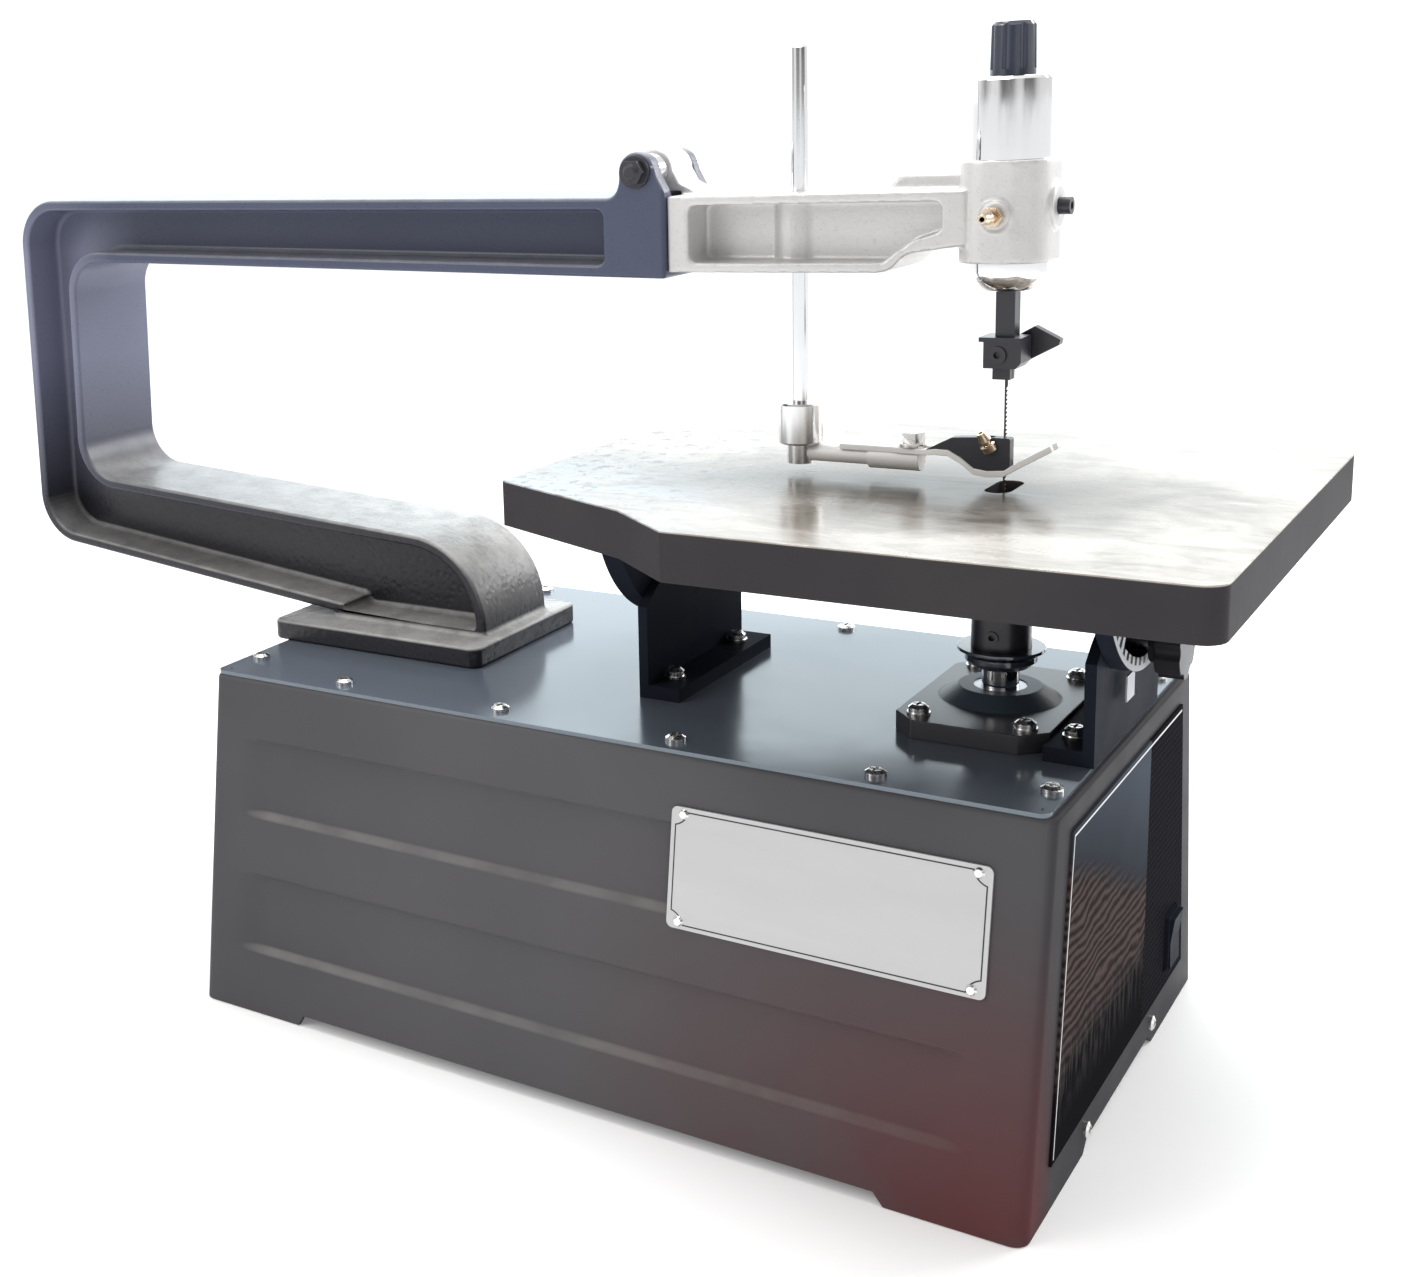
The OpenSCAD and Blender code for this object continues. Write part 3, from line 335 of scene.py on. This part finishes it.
def table_material():
    """Ground iron on top, cloudy with oil; dark paint on the sides."""
    m = Mat("table_iron", (0.6, 0.6, 0.6), 0.2)
    m.set("IOR", 1.07)
    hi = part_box("table_top")[1]
    top = m.ramp(m.axis(2), hi.z - 0.0009, hi.z - 0.0004)
    cloud = m.noise(11, 7, 0.62, distort=0.8)
    smear = m.noise(38, 6, 0.66, vec=m.scaled((0.5, 1.6, 1)), distort=1.2)
    specks = m.noise(150, 5, 0.7)
    mottled = m.math("ADD", m.math("MULTIPLY", cloud, 0.6), m.math("MULTIPLY", smear, 0.4))
    mottled = m.ramp(mottled, 0.42, 0.58)
    bright = m.mix(mottled, (0.300, 0.268, 0.232), (0.540, 0.496, 0.450))
    left = m.ramp(m.axis(0), 0.09, -0.02)
    flecks = m.math("MULTIPLY", m.ramp(specks, 0.56, 0.60), left)
    oily = m.math("MULTIPLY", left, m.ramp(m.axis(1), 0.02, -0.06))
    bright = m.mix(m.math("MULTIPLY", oily, m.ramp(smear, 0.45, 0.55, 0.2, 1.0)), bright, (0.44, 0.49, 0.55))
    bright = m.mix(m.math("MULTIPLY", flecks, 0.7), bright, (0.15, 0.15, 0.16))
    # Darker round a point near the blade, fading out between 45 and 130 mm from it.
    away = m.new("ShaderNodeVectorMath", operation="DISTANCE")
    m.link(m.scaled((0.62, 1, 1)), away.inputs[0])
    away.inputs[1].default_value = (0.083, -0.012, hi.z)
    worn = m.ramp(m.math("ADD", away.outputs["Value"], m.math("MULTIPLY", cloud, 0.06)), 0.045, 0.13)
    ground = m.mix(worn, (0.080, 0.066, 0.052), bright)
    rim = m.mix(m.noise(20, 4), (0.038, 0.036, 0.040), (0.062, 0.056, 0.059))
    m.color(m.mix(top, rim, ground))
    m.link(m.math("MULTIPLY", top, 0.5), m.b.inputs["Metallic"])
    shine = m.ramp(mottled, 0.0, 1.0, 0.17, 0.30)
    dull = m.math("MULTIPLY", m.math("SUBTRACT", 1.0, top), 0.46)
    m.rough(m.math("ADD", m.math("MULTIPLY", top, shine), dull))
    m.bump(m.noise(500, 4), 0.00003)
    m.bump(smear, 0.00012)
    m.bump(m.math("MULTIPLY", specks, left), 0.00025)
    return m.m


def dial_material():
    """Black iron with a bright face towards the operator, graduated near its rim."""
    m = Mat("trunnion_dial", (0.5, 0.5, 0.5), 0.3)
    m.set("IOR", 1.1)
    facing = m.facing()
    down = m.math("SUBTRACT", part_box("table_top")[1].z, m.axis(2))
    turn = m.math("MULTIPLY", m.math("ARCTAN2", m.axis(1), down), 180 / math.pi / 6)
    radius = m.distance(m.axis(1), down)
    line = m.math("LESS_THAN", m.math("FRACT", m.math("ADD", turn, 20.2)), 0.5)
    line = m.math("MULTIPLY", line, m.ramp(radius, 0.0570, 0.0574))
    line = m.math("MULTIPLY", line, m.ramp(radius, 0.0745, 0.0741))
    face = m.mix(line, (0.52, 0.53, 0.55), (0.03, 0.03, 0.035))
    m.color(m.mix(m.ramp(facing[0], 0.7, 0.9), (0.017, 0.020, 0.029), face))
    return m.m


def flange_material():
    """Dark paint, with the raised cone round the plunger a bluer grey, a painted bluish reflection."""
    m = Mat("flange_paint", (0.05, 0.05, 0.06), 0.3)
    cone_r, soft = 0.028, 0.0005
    away = m.distance(m.math("SUBTRACT", m.axis(0), BLADE_X), m.axis(1))
    # Painted reflection: the raised cone is a bluer grey than the flat around it.
    m.color(m.mix(m.ramp(away, cone_r + soft, cone_r - soft), (0.058, 0.058, 0.065), (0.066, 0.090, 0.118)))
    m.rough(m.ramp(away, cone_r + soft, cone_r - soft, 0.28, 0.42))
    m.bump(m.noise(500, 2), 0.00002)
    return m.m


def band(m, value, centre, half, soft=0.0001):
    """1 where value is within half of centre."""
    off = m.math("ABSOLUTE", m.math("SUBTRACT", value, centre))
    return m.ramp(off, half + soft, half - soft)


def plate_material():
    """Satin silver with a thin black line just inside its edge."""
    m = Mat("name_plate_silver", (0.62, 0.62, 0.63), 0.34, metal=0.35)
    lo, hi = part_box("name_plate")
    cx, cz = (lo.x + hi.x) / 2, (lo.z + hi.z) / 2
    dx = m.math("SUBTRACT", (hi.x - lo.x) / 2, m.math("ABSOLUTE", m.math("SUBTRACT", m.axis(0), cx)))
    dz = m.math("SUBTRACT", (hi.z - lo.z) / 2, m.math("ABSOLUTE", m.math("SUBTRACT", m.axis(2), cz)))
    near = m.math("MINIMUM", dx, dz)
    corner = m.math("SUBTRACT", m.distance(dx, dz), 0.0065)
    edge = m.math("MINIMUM", near, corner)
    line = band(m, edge, 0.0022, 0.00033)
    brushed = m.mix(m.noise(60, 4, vec=m.scaled((0.2, 1, 1))), (0.50, 0.50, 0.505), (0.57, 0.57, 0.575))
    m.color(m.mix(line, brushed, (0.02, 0.02, 0.02)))
    m.bump(m.noise(700, 3, vec=m.scaled((0.08, 1, 1))), 0.00001)
    return m.m


def panel_material():
    """Printed front panel: near part with a painted sheen, lighter towards its top, and waves below; black far part,
    white border.
    """
    m = Mat("panel_print", (0.02, 0.02, 0.02), 0.22, spec=0.03)
    m.set("IOR", 1.02)
    lo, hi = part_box("control_panel")
    y, z = m.axis(1), m.axis(2)
    slope_width = m.math("SUBTRACT", 0.113, m.math("MULTIPLY", m.math("SUBTRACT", z, 0.023), 0.1345))
    half = m.math("SUBTRACT", slope_width, m.math("ABSOLUTE", y))
    near_half = m.math("ADD", half, m.math("MULTIPLY", m.math("GREATER_THAN", y, 0.0), 1.0))
    border = band(m, m.math("MINIMUM", near_half, m.math("SUBTRACT", hi.z, z)), 0.0026, 0.0005)
    border = m.math("MULTIPLY", border, m.ramp(m.math("MINIMUM", half, m.math("SUBTRACT", z, lo.z)), 0.0018, 0.0022))
    wave = m.new("ShaderNodeTexWave", wave_type="BANDS", bands_direction="Z")
    m.link(m.scaled((1, 0.5, 1)), wave.inputs["Vector"])
    wave.inputs["Scale"].default_value = 65
    wave.inputs["Distortion"].default_value = 16
    wave.inputs["Detail"].default_value = 4
    wave.inputs["Detail Scale"].default_value = 0.5
    waves = m.mix(wave.outputs["Fac"], (0.026, 0.022, 0.022), (0.088, 0.066, 0.063))
    slant = m.math("ADD", z, m.math("MULTIPLY", y, 0.39))
    slant = m.math("SUBTRACT", m.math("ADD", slant, m.math("MULTIPLY", m.noise(20, 3), 0.02)), hi.z + 0.01)
    # Painted sheen: the near part turns a lighter blue-grey towards its top, along a slant.
    painted_sheen = m.mix(m.ramp(slant, -0.055, 0.0), (0.036, 0.040, 0.048), (0.078, 0.090, 0.112))
    near = m.mix(m.ramp(slant, -0.062, -0.050), waves, painted_sheen)
    strokes = m.ramp(m.noise(260, 3, vec=m.scaled((1, 1, 0.2))), 0.45, 0.6)
    low = m.mix(m.math("MULTIPLY", strokes, m.ramp(z, 0.035, 0.065)), (0.010, 0.010, 0.012), (0.050, 0.046, 0.045))
    ragged = m.math("ADD", z, m.math("MULTIPLY", m.noise(45, 3), 0.03))
    near = m.mix(m.ramp(ragged, hi.z - 0.098, hi.z - 0.080), low, near)
    cells = m.new("ShaderNodeTexBrick")
    swap = m.new("ShaderNodeMapping")
    m.link(m.co, swap.inputs["Vector"])
    swap.inputs["Rotation"].default_value = (math.radians(45), math.radians(90), 0)
    m.link(swap.outputs[0], cells.inputs["Vector"])
    cells.inputs["Scale"].default_value = 110
    cells.inputs["Mortar Size"].default_value = 0.06
    cells.inputs["Color1"].default_value = (0.004, 0.004, 0.005, 1)
    cells.inputs["Color2"].default_value = (0.007, 0.007, 0.009, 1)
    cells.inputs["Mortar"].default_value = (0.020, 0.020, 0.024, 1)
    far = m.ramp(y, 0.0325, 0.0335)
    m.color(m.mix(border, m.mix(far, near, cells.outputs["Color"]), (0.75, 0.75, 0.75)))
    m.bump(m.noise(400, 2), 0.00001)
    return m.m


MATS = make_materials()


# ---- Pieces from the frame ----------------------------------------------------

def dress(obj, mat):
    obj.data.materials.clear()
    obj.data.materials.append(mat)


def finish_mesh(obj, body, node=None, sharp=32):
    """Applies the modifiers, smooths the shading unless sharp is None, and puts the piece on its body."""
    deps = bpy.context.evaluated_depsgraph_get()
    deps.update()
    mesh = bpy.data.meshes.new_from_object(obj.evaluated_get(deps))
    obj.modifiers.clear()
    obj.data = mesh
    if sharp is not None:
        mesh.shade_smooth()
        mesh.set_sharp_from_angle(angle=math.radians(sharp))
    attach(obj, body)
    if node:
        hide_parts(node)
    return obj


def softened(node, mat, width, segments=2, angle=25, hollow=None, clamp=True):
    """A copy of a CAD node with rounded edges, standing for it; hollow is the inner edges' width."""
    src = NODES[node]
    me = src.data.copy()
    bm = bmesh.new()
    bm.from_mesh(me)
    bmesh.ops.remove_doubles(bm, verts=bm.verts, dist=2e-6)
    bmesh.ops.dissolve_limit(bm, angle_limit=math.radians(0.6), verts=bm.verts, edges=bm.edges)
    widest = max(width, hollow or 0)
    layer = bm.edges.layers.float.new("bevel_weight_edge")
    for e in bm.edges:
        if len(e.link_faces) == 2 and e.calc_face_angle() > math.radians(angle):
            inner = e.calc_face_angle_signed() < 0
            e[layer] = (hollow if hollow is not None and inner else width) / widest
            e.smooth = e[layer] > 0
    for f in bm.faces:
        f.smooth = True
    bm.to_mesh(me)
    bm.free()
    obj = bpy.data.objects.new("vis_" + node, me)
    bpy.context.scene.collection.objects.link(obj)
    dress(obj, mat)
    b = obj.modifiers.new("bevel", "BEVEL")
    b.width = widest * MM
    b.segments = segments
    b.limit_method = "WEIGHT"
    b.use_clamp_overlap = clamp
    b.miter_outer = "MITER_ARC"
    even = obj.modifiers.new("normals", "WEIGHTED_NORMAL")
    even.mode = "FACE_AREA"
    even.weight = 80
    even.keep_sharp = True
    return finish_mesh(obj, src["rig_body"], node, None)


def cast_skin(node, mat, grid, passes, keep):
    """A casting with all its edges worn round, standing for a CAD node; grid in mm."""
    src = NODES[node]
    obj = bpy.data.objects.new("vis_" + node, src.data.copy())
    bpy.context.scene.collection.objects.link(obj)
    dress(obj, mat)
    skin = obj.modifiers.new("skin", "REMESH")
    skin.mode = "VOXEL"
    skin.voxel_size = grid * MM
    worn = obj.modifiers.new("worn", "SMOOTH")
    worn.factor = 0.5
    worn.iterations = passes
    fewer = obj.modifiers.new("fewer", "DECIMATE")
    fewer.ratio = keep
    return finish_mesh(obj, src["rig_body"], node, 60)


# node: material, width of its rounded edges in mm, segments, width of its inner edges
LOOKS = {
    "top_plate": ("top_paint", 0.6, 2, 0),
    "name_plate": ("name_plate", 0.3, 2, 0),
    "c_frame": ("frame", 1.8, 3, 3.0),
    "rear_bracket": ("bracket", 0.8, 2, 0.5),
    "front_bracket": ("bracket", 0.8, 2, 0.5),
    "bearing_flange": ("flange", 1.0, 3, 0.4),
    "front_trunnion": ("dial", 0.5, 2, 0.3),
    "rear_trunnion": ("bracket", 0.5, 2, 0.3),
    "table_top": ("table", 0.9, 3, 0.5),
    "plunger_tube": ("tube", 0.4, 2, 0),
    "tension_knob": ("knob", 0.6, 3, 0.3),
    "post_collar": ("collar", 0.4, 2, 0),
    "upper_clamp": ("black_oxide", 0.7, 2, 0.2),
    "clamp_lever": ("black_oxide", 0.8, 2, 0.2),
    "foot_holder": ("black_oxide", 0.5, 2, 0),
    "dust_discs": ("knob", 0.3, 2, 0),
    "lower_chuck": ("black_oxide", 0.5, 2, 0),
    "tilt_lock_knob": ("plastic", 1.0, 3, 0.4),
    "hinge_pin": ("black_oxide", 0.5, 2, 0.2),
    "upper_plunger": ("black_oxide", 0.4, 2, 0),
    "holddown_foot": ("foot", 0.4, 2, 0.2),
    "holddown_rod": ("foot", 0.3, 2, 0),
    "post_lock_screw": ("knob", 0.6, 2, 0),
    "power_switch": ("bracket", 0.6, 2, 0.2),
    "cord_gland": ("plastic", 0.4, 2, 0),
    "air_nozzle": ("brass", 0.2, 2, 0),
    "foot_bolt": ("zinc", 0.3, 2, 0),
    "cover_screws": ("zinc", 0.25, 2, 0),
    "flange_screws": ("zinc", 0.25, 2, 0),
    "bracket_screws": ("zinc", 0.25, 2, 0),
}
PLAIN = {
    "control_panel": "panel", "name_plate_rivets": "zinc", "c_frame_bolts": "steel", "lower_bush": "steel",
    "motor_body": "motor", "motor_bracket": "bracket", "motor_bolts": "steel", "control_box": "plastic",
    "hinge_spacer": "chrome", "hinge_nut": "zinc", "tilt_lock_stud": "steel", "trunnion_bolts": "steel",
    "tube_clamp_bolt": "black_oxide", "tension_spring": "steel", "clamp_set_screw": "black_oxide",
    "clamp_jaw": "black_oxide", "holddown_post": "post", "lower_plunger": "chrome",
    "lower_chuck_screw": "black_oxide", "motor_shaft": "polished", "crank_disc": "steel", "connecting_rod": "steel",
}


def dress_nodes():
    for node, (mat, width, segments, hollow) in LOOKS.items():
        softened(node, MATS[mat], width, segments, hollow=hollow, clamp=node != "c_frame")
    for node, mat in PLAIN.items():
        dress(NODES[node], MATS[mat])
    cast_skin("front_arm", MATS["arm"], 0.8, 6, 0.4)


dress_nodes()


# ---- Detail pieces ------------------------------------------------------------

def mesh_piece(name, verts, faces, mat, body, node=None, sharp=32):
    """A piece made from points and faces; with no body, the caller finishes it."""
    me = bpy.data.meshes.new(name)
    me.from_pydata(verts, [], faces)
    me.validate()
    bm = bmesh.new()
    bm.from_mesh(me)
    bmesh.ops.recalc_face_normals(bm, faces=bm.faces)
    bm.to_mesh(me)
    bm.free()
    obj = bpy.data.objects.new(name, me)
    bpy.context.scene.collection.objects.link(obj)
    dress(obj, mat)
    return finish_mesh(obj, body, node, sharp) if body else obj


def make_blade():
    """The toothed blade, in the CAD blade's box."""
    lo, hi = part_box("blade")
    pitch = 2.0 * MM
    n = int((hi.z - lo.z - 24 * MM) / pitch)
    start = lo.z + 12 * MM
    edge = [(hi.x, lo.z), (hi.x, start)]
    for i in range(n):
        z = start + i * pitch
        edge += [(hi.x - 0.75 * MM, z + 0.15 * pitch), (hi.x - 0.6 * MM, z + 0.45 * pitch), (hi.x, z + pitch)]
    edge += [(hi.x, hi.z)]
    outline = edge + [(lo.x, hi.z), (lo.x, lo.z)]
    verts, faces = [], []
    k = len(outline)
    for y in (lo.y, hi.y):
        verts += [(x, y, z) for x, z in outline]
    faces.append(list(range(k)))
    faces.append(list(range(2 * k - 1, k - 1, -1)))
    faces += [[i, i + k, (i + 1) % k + k, (i + 1) % k] for i in range(k)]
    mesh_piece("vis_blade", verts, faces, MATS["blade"], "lower_slide", "blade")


def lathe(name, profile, at, mat, body, node=None, steps=64, sharp=32, axis=(0, 0, 1)):
    """A closed profile of (radius, height) in mm, turned round the axis through the point at, in mm."""
    k = len(profile)
    turn = Vector(axis).to_track_quat("Z", "Y")
    verts = [(turn @ Vector((r * math.cos(a), r * math.sin(a), z)) + Vector(at)) * MM
             for a in [2 * math.pi * i / steps for i in range(steps)] for r, z in profile]
    faces = [[i * k + j, (i + 1) % steps * k + j, (i + 1) % steps * k + (j + 1) % k, i * k + (j + 1) % k]
             for i in range(steps) for j in range(k)]
    return mesh_piece(name, verts, faces, mat, body, node, sharp)


def make_collar():
    """The chromed bowl under the head."""
    profile = [(14.0, 402.0), (14.0, 396.05), (16.6, 396.0), (16.6, 391.4), (16.3, 389.7), (15.5, 387.8),
               (14.2, 385.9), (12.8, 384.3), (11.6, 383.3), (10.8, 383.0), (6.2, 383.0), (6.2, 402.0)]
    lathe("vis_lower_collar", profile, (BLADE_X / MM, 0, 0), MATS["tube"], "arm", "lower_collar")


def make_air_fitting():
    """The barbed blower fitting on the hold-down's holder."""
    profile = [(0.9, 0), (3.7, 0), (3.7, 3.0), (2.5, 3.5), (2.5, 5.0), (3.0, 5.4), (2.3, 8.0), (2.0, 9.6), (0.9, 9.6)]
    lathe("vis_air_fitting", profile, (161.5, -7.2, 310.5), MATS["brass"], "hold_down", "air_fitting",
          24, axis=(-0.35, -0.42, 0.84))


# ---- Base ---------------------------------------------------------------------

HALF_L, TOP_W, FOOT_W, SHELL_H = 226.0, 116.0, 144.0, 180.0
BANDS = ((33.0, 76.0), (106.0, 149.0))
BAND_X = (-197.0, 195.0)


def half_w(z):
    return FOOT_W - (FOOT_W - TOP_W) / 182.0 * z


def smooth(a, b, v):
    t = min(1.0, max(0.0, (v - a) / (b - a)))
    return t * t * (3 - 2 * t)


def band_depth(x, z):
    """How far the long side is pressed in at (x, z)."""
    across = smooth(BAND_X[0] - 9, BAND_X[0] + 12, x) * (1 - smooth(BAND_X[1] - 12, BAND_X[1] + 9, x))
    return 3.2 * across * sum(smooth(a - 0.5, a + 4.2, z) * (1 - smooth(b - 2.6, b + 0.6, z)) for a, b in BANDS)


def base_levels():
    """(height, inset from the sloping wall) of each row of the skin above the feet."""
    rows = {6.0, 9.0, 14.0, 22.0, 29.0, 92.0, 160.0, 172.0}
    for a, b in BANDS:
        rows |= {a - 1.5, a - 0.6, b - 3.6, b - 2.7, b + 0.7, b + 1.6, a + 5.5, (a + b) / 2}
        rows |= {a - 0.5 + i * 0.625 for i in range(9)} | {b - 2.6 + i * 0.53 for i in range(7)}
    out = [(z, 0.0) for z in sorted(rows)]
    r = 2.2
    for i in range(7):
        a = math.radians(15 * i)
        out.append((SHELL_H - r + r * math.sin(a), r - r * math.cos(a)))
    return out + [(SHELL_H, 7.0)]


def base_columns():
    """(side, place along it) of each column: the near and far sides by x, the ends by a share of their width."""
    xs = {-219.0, -212.0, -205.0, 205.0, 212.0, 219.0, -162.0, -156.0, 160.0, 166.0}
    xs |= {BAND_X[0] - 12 + i * 3.0 for i in range(11)} | {BAND_X[1] - 18 + i * 3.0 for i in range(11)}
    xs |= {-183.0 + 12.0 * i for i in range(31)}
    xs = sorted(xs)
    ends = sorted({s * f for s in (-1, 1) for f in (0.0, 0.2, 0.395, 0.435, 0.62, 0.8, 1.0)})
    cols = [("near", x) for x in xs] + [("corner", (0, i)) for i in range(1, 7)]
    cols += [("front", y) for y in ends] + [("corner", (1, i)) for i in range(1, 7)]
    cols += [("far", x) for x in reversed(xs)] + [("corner", (2, i)) for i in range(1, 7)]
    cols += [("rear", y) for y in reversed(ends)] + [("corner", (3, i)) for i in range(1, 7)]
    return cols


def base_point(side, at, z, inset):
    """A point of the skin, its corners rounded to 7 mm."""
    r = 7.0
    w, l = half_w(z) - inset, HALF_L - inset
    if side in ("near", "far"):
        y = w - (band_depth(at, z) if inset == 0 else 0)
        return (at, -y if side == "near" else y, z)
    if side in ("front", "rear"):
        return (l if side == "front" else -l, at * (w - r), z)
    q, i = at
    sx, sy = ((1, -1), (1, 1), (-1, 1), (-1, -1))[q]
    a = math.radians(-90 + 90 * q + 90 * i / 7)
    return (sx * (l - r) + r * math.cos(a), sy * (w - r) + r * math.sin(a), z)


def foot_gap(side, at):
    """Height of the skin's lower edge: 0 on the feet, 6 between them."""
    if side in ("near", "far"):
        return 6.0 if -157 < at < 161 else 0.0
    if side in ("front", "rear"):
        return 6.0 if abs(at) < 0.42 else 0.0
    return 0.0


def make_base():
    cols, rows = base_columns(), base_levels()
    n = len(cols)
    verts = []
    for side, at in cols:
        z = foot_gap(side, at)
        verts.append(base_point(side, at, min(5.9, max(0.45, z)), 0.0))
    for z, inset in rows:
        verts += [base_point(side, at, z, inset) for side, at in cols]
    faces = [[r * n + i, r * n + (i + 1) % n, (r + 1) * n + (i + 1) % n, (r + 1) * n + i]
             for r in range(len(rows)) for i in range(n)]
    obj = mesh_piece("vis_base", [tuple(c * MM for c in v) for v in verts], faces, MATS["base_paint"], None)
    thick = obj.modifiers.new("sheet", "SOLIDIFY")
    thick.thickness = 2.5 * MM
    thick.offset = -1
    finish_mesh(obj, "base", None, 40)
    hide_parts("base_side_near", "base_side_far", "base_end_front", "base_end_rear")


def make_feet():
    """The four inward flanges of the feet, each with its bench bolt's hole."""
    verts, faces = [], []
    k = 24
    for sx in (-1, 1):
        for sy in (-1, 1):
            cx, cy = 200 * sx, 114 * sy
            x0, x1 = sorted((180 * sx, 223 * sx))
            y0, y1 = sorted((96 * sy, 141 * sy))
            base = len(verts)
            for z in (0.05, 3.0):
                for i in range(k):
                    a = 2 * math.pi * i / k
                    c, s = math.cos(a), math.sin(a)
                    verts.append((cx + 4.5 * c, cy + 4.5 * s, z))
                    reach_x = ((x1 if c > 0 else x0) - cx) / c if abs(c) > 1e-6 else 1e9
                    reach_y = ((y1 if s > 0 else y0) - cy) / s if abs(s) > 1e-6 else 1e9
                    t = min(reach_x, reach_y)
                    verts.append((cx + t * c, cy + t * s, z))
            for i in range(k):
                j = (i + 1) % k
                a, b, c, d = base + 2 * i, base + 2 * i + 1, base + 2 * j + 1, base + 2 * j
                up = 2 * k
                faces += [[d, c, b, a], [a + up, b + up, c + up, d + up]]
                faces += [[a, a + up, d + up, d], [b, c, c + up, b + up]]
    verts = [tuple(c * MM for c in v) for v in verts]
    mesh_piece("foot_flanges", verts, faces, MATS["base_paint"], "base", None)


def make_pointer():
    """The small plate by the tilt scale, on the front bracket."""
    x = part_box("front_bracket")[1].x
    outline = [(-16, 201.5), (-3.5, 201.5), (-3.5, 213.6), (-16, 213.6)]
    verts = [(x + t * MM, y * MM, z * MM) for t in (0.05, 0.85) for y, z in outline]
    faces = [[3, 2, 1, 0], [4, 5, 6, 7]]
    faces += [[i, (i + 1) % 4, (i + 1) % 4 + 4, i + 4] for i in range(4)]
    mesh_piece("tilt_pointer", verts, faces, MATS["mark"], "base", None)


make_blade()
make_collar()
make_air_fitting()
make_base()
make_feet()
make_pointer()


# ---- Floor, light and world ---------------------------------------------------

def make_floor():
    me = bpy.data.meshes.new("floor")
    s = 40.0
    me.from_pydata([(-s, -s, 0), (s, -s, 0), (s, s, 0), (-s, s, 0)], [], [[0, 1, 2, 3]])
    obj = bpy.data.objects.new("floor", me)
    bpy.context.scene.collection.objects.link(obj)
    m = Mat("floor_white", (0.9, 0.9, 0.9), 0.8, spec=0.2)
    m.color(m.mix(m.noise(3, 2), (0.90, 0.90, 0.90), (0.92, 0.92, 0.92)))
    m.set("Emission Color", (1, 1, 1, 1))
    m.set("Emission Strength", 0.16)
    dress(obj, m.m)


def area(name, at, target, size, power, color=(1, 1, 1)):
    data = bpy.data.lights.new(name, "AREA")
    data.shape = "RECTANGLE"
    data.size, data.size_y = size
    data.energy = power
    data.color = color
    obj = bpy.data.objects.new(name, data)
    obj.location = at
    obj.rotation_euler = (Vector(target) - Vector(at)).to_track_quat("-Z", "Y").to_euler()
    bpy.context.scene.collection.objects.link(obj)


# Brightness of the room by direction, from -X round through -Y, +X and +Y
ROOM = ((0.00, 0.9), (0.06, 0.35), (0.13, 0.9), (0.18, 0.9), (0.21, 0.18), (0.30, 0.14), (0.34, 0.7), (0.37, 0.75),
        (0.40, 0.14), (0.47, 0.16), (0.51, 0.7), (0.56, 0.85), (0.70, 0.9), (0.755, 1.0), (0.772, 2.2),
        (0.86, 2.4), (0.95, 1.7), (1.0, 0.9))


def make_world():
    """A pale studio: bright windows behind the object, a dim room on the camera's side."""
    w = bpy.data.worlds.new("studio")
    bpy.context.scene.world = w
    w.use_nodes = True
    t = w.node_tree
    bg = t.nodes["Background"]

    def node(kind, **props):
        n = t.nodes.new(kind)
        for k, v in props.items():
            setattr(n, k, v)
        return n

    def calc(op, a, b=0.0):
        n = node("ShaderNodeMath", operation=op)
        for i, v in enumerate((a, b)):
            if isinstance(v, bpy.types.NodeSocket):
                t.links.new(v, n.inputs[i])
            else:
                n.inputs[i].default_value = v
        return n.outputs[0]

    co = node("ShaderNodeTexCoord")
    sep = node("ShaderNodeSeparateXYZ")
    t.links.new(co.outputs["Generated"], sep.inputs[0])
    x, y, z = sep.outputs
    turn = calc("ADD", calc("DIVIDE", calc("ARCTAN2", y, x), 2 * math.pi), 0.5)
    ramp = node("ShaderNodeValToRGB")
    el = ramp.color_ramp.elements
    top = 2.5
    el[0].position, el[1].position = ROOM[0][0], ROOM[-1][0]
    el[0].color = (*[ROOM[0][1] / top] * 3, 1)
    el[1].color = (*[ROOM[-1][1] / top] * 3, 1)
    for p, v in ROOM[1:-1]:
        el.new(p).color = (*[v / top] * 3, 1)
    t.links.new(turn, ramp.inputs[0])
    around = calc("MULTIPLY", ramp.outputs[0], top)
    up = node("ShaderNodeMapRange", interpolation_type="SMOOTHSTEP")
    t.links.new(z, up.inputs["Value"])
    up.inputs["From Min"].default_value = 0.45
    up.inputs["From Max"].default_value = 0.9
    level = node("ShaderNodeMix", data_type="FLOAT")
    t.links.new(up.outputs[0], level.inputs[0])
    t.links.new(around, level.inputs[2])
    level.inputs[3].default_value = 1.15
    t.links.new(level.outputs[0], bg.inputs[1])
    blue = node("ShaderNodeMix", data_type="RGBA")
    tint = node("ShaderNodeMapRange")
    t.links.new(ramp.outputs[0], tint.inputs["Value"])
    tint.inputs["From Min"].default_value = 0.35
    tint.inputs["From Max"].default_value = 0.9
    t.links.new(tint.outputs[0], blue.inputs[0])
    blue.inputs[6].default_value = (1.0, 0.985, 0.975, 1)
    blue.inputs[7].default_value = (0.86, 0.95, 1.0, 1)
    t.links.new(blue.outputs[2], bg.inputs[0])


bpy.context.scene.view_settings.view_transform = "Standard"
make_floor()
make_world()
area("top_softbox", (-0.2, 0.3, 1.9), (0, 0, 0.2), (1.2, 0.9), 24)
area("left_softbox", (-1.3, -1.6, 1.3), (-0.1, 0, 0.25), (0.8, 0.8), 10, (1.0, 0.99, 0.97))
area("back_window", (0.9, 1.3, 1.0), (-0.1, 0, 0.25), (0.8, 0.8), 16, (0.97, 0.99, 1.0))
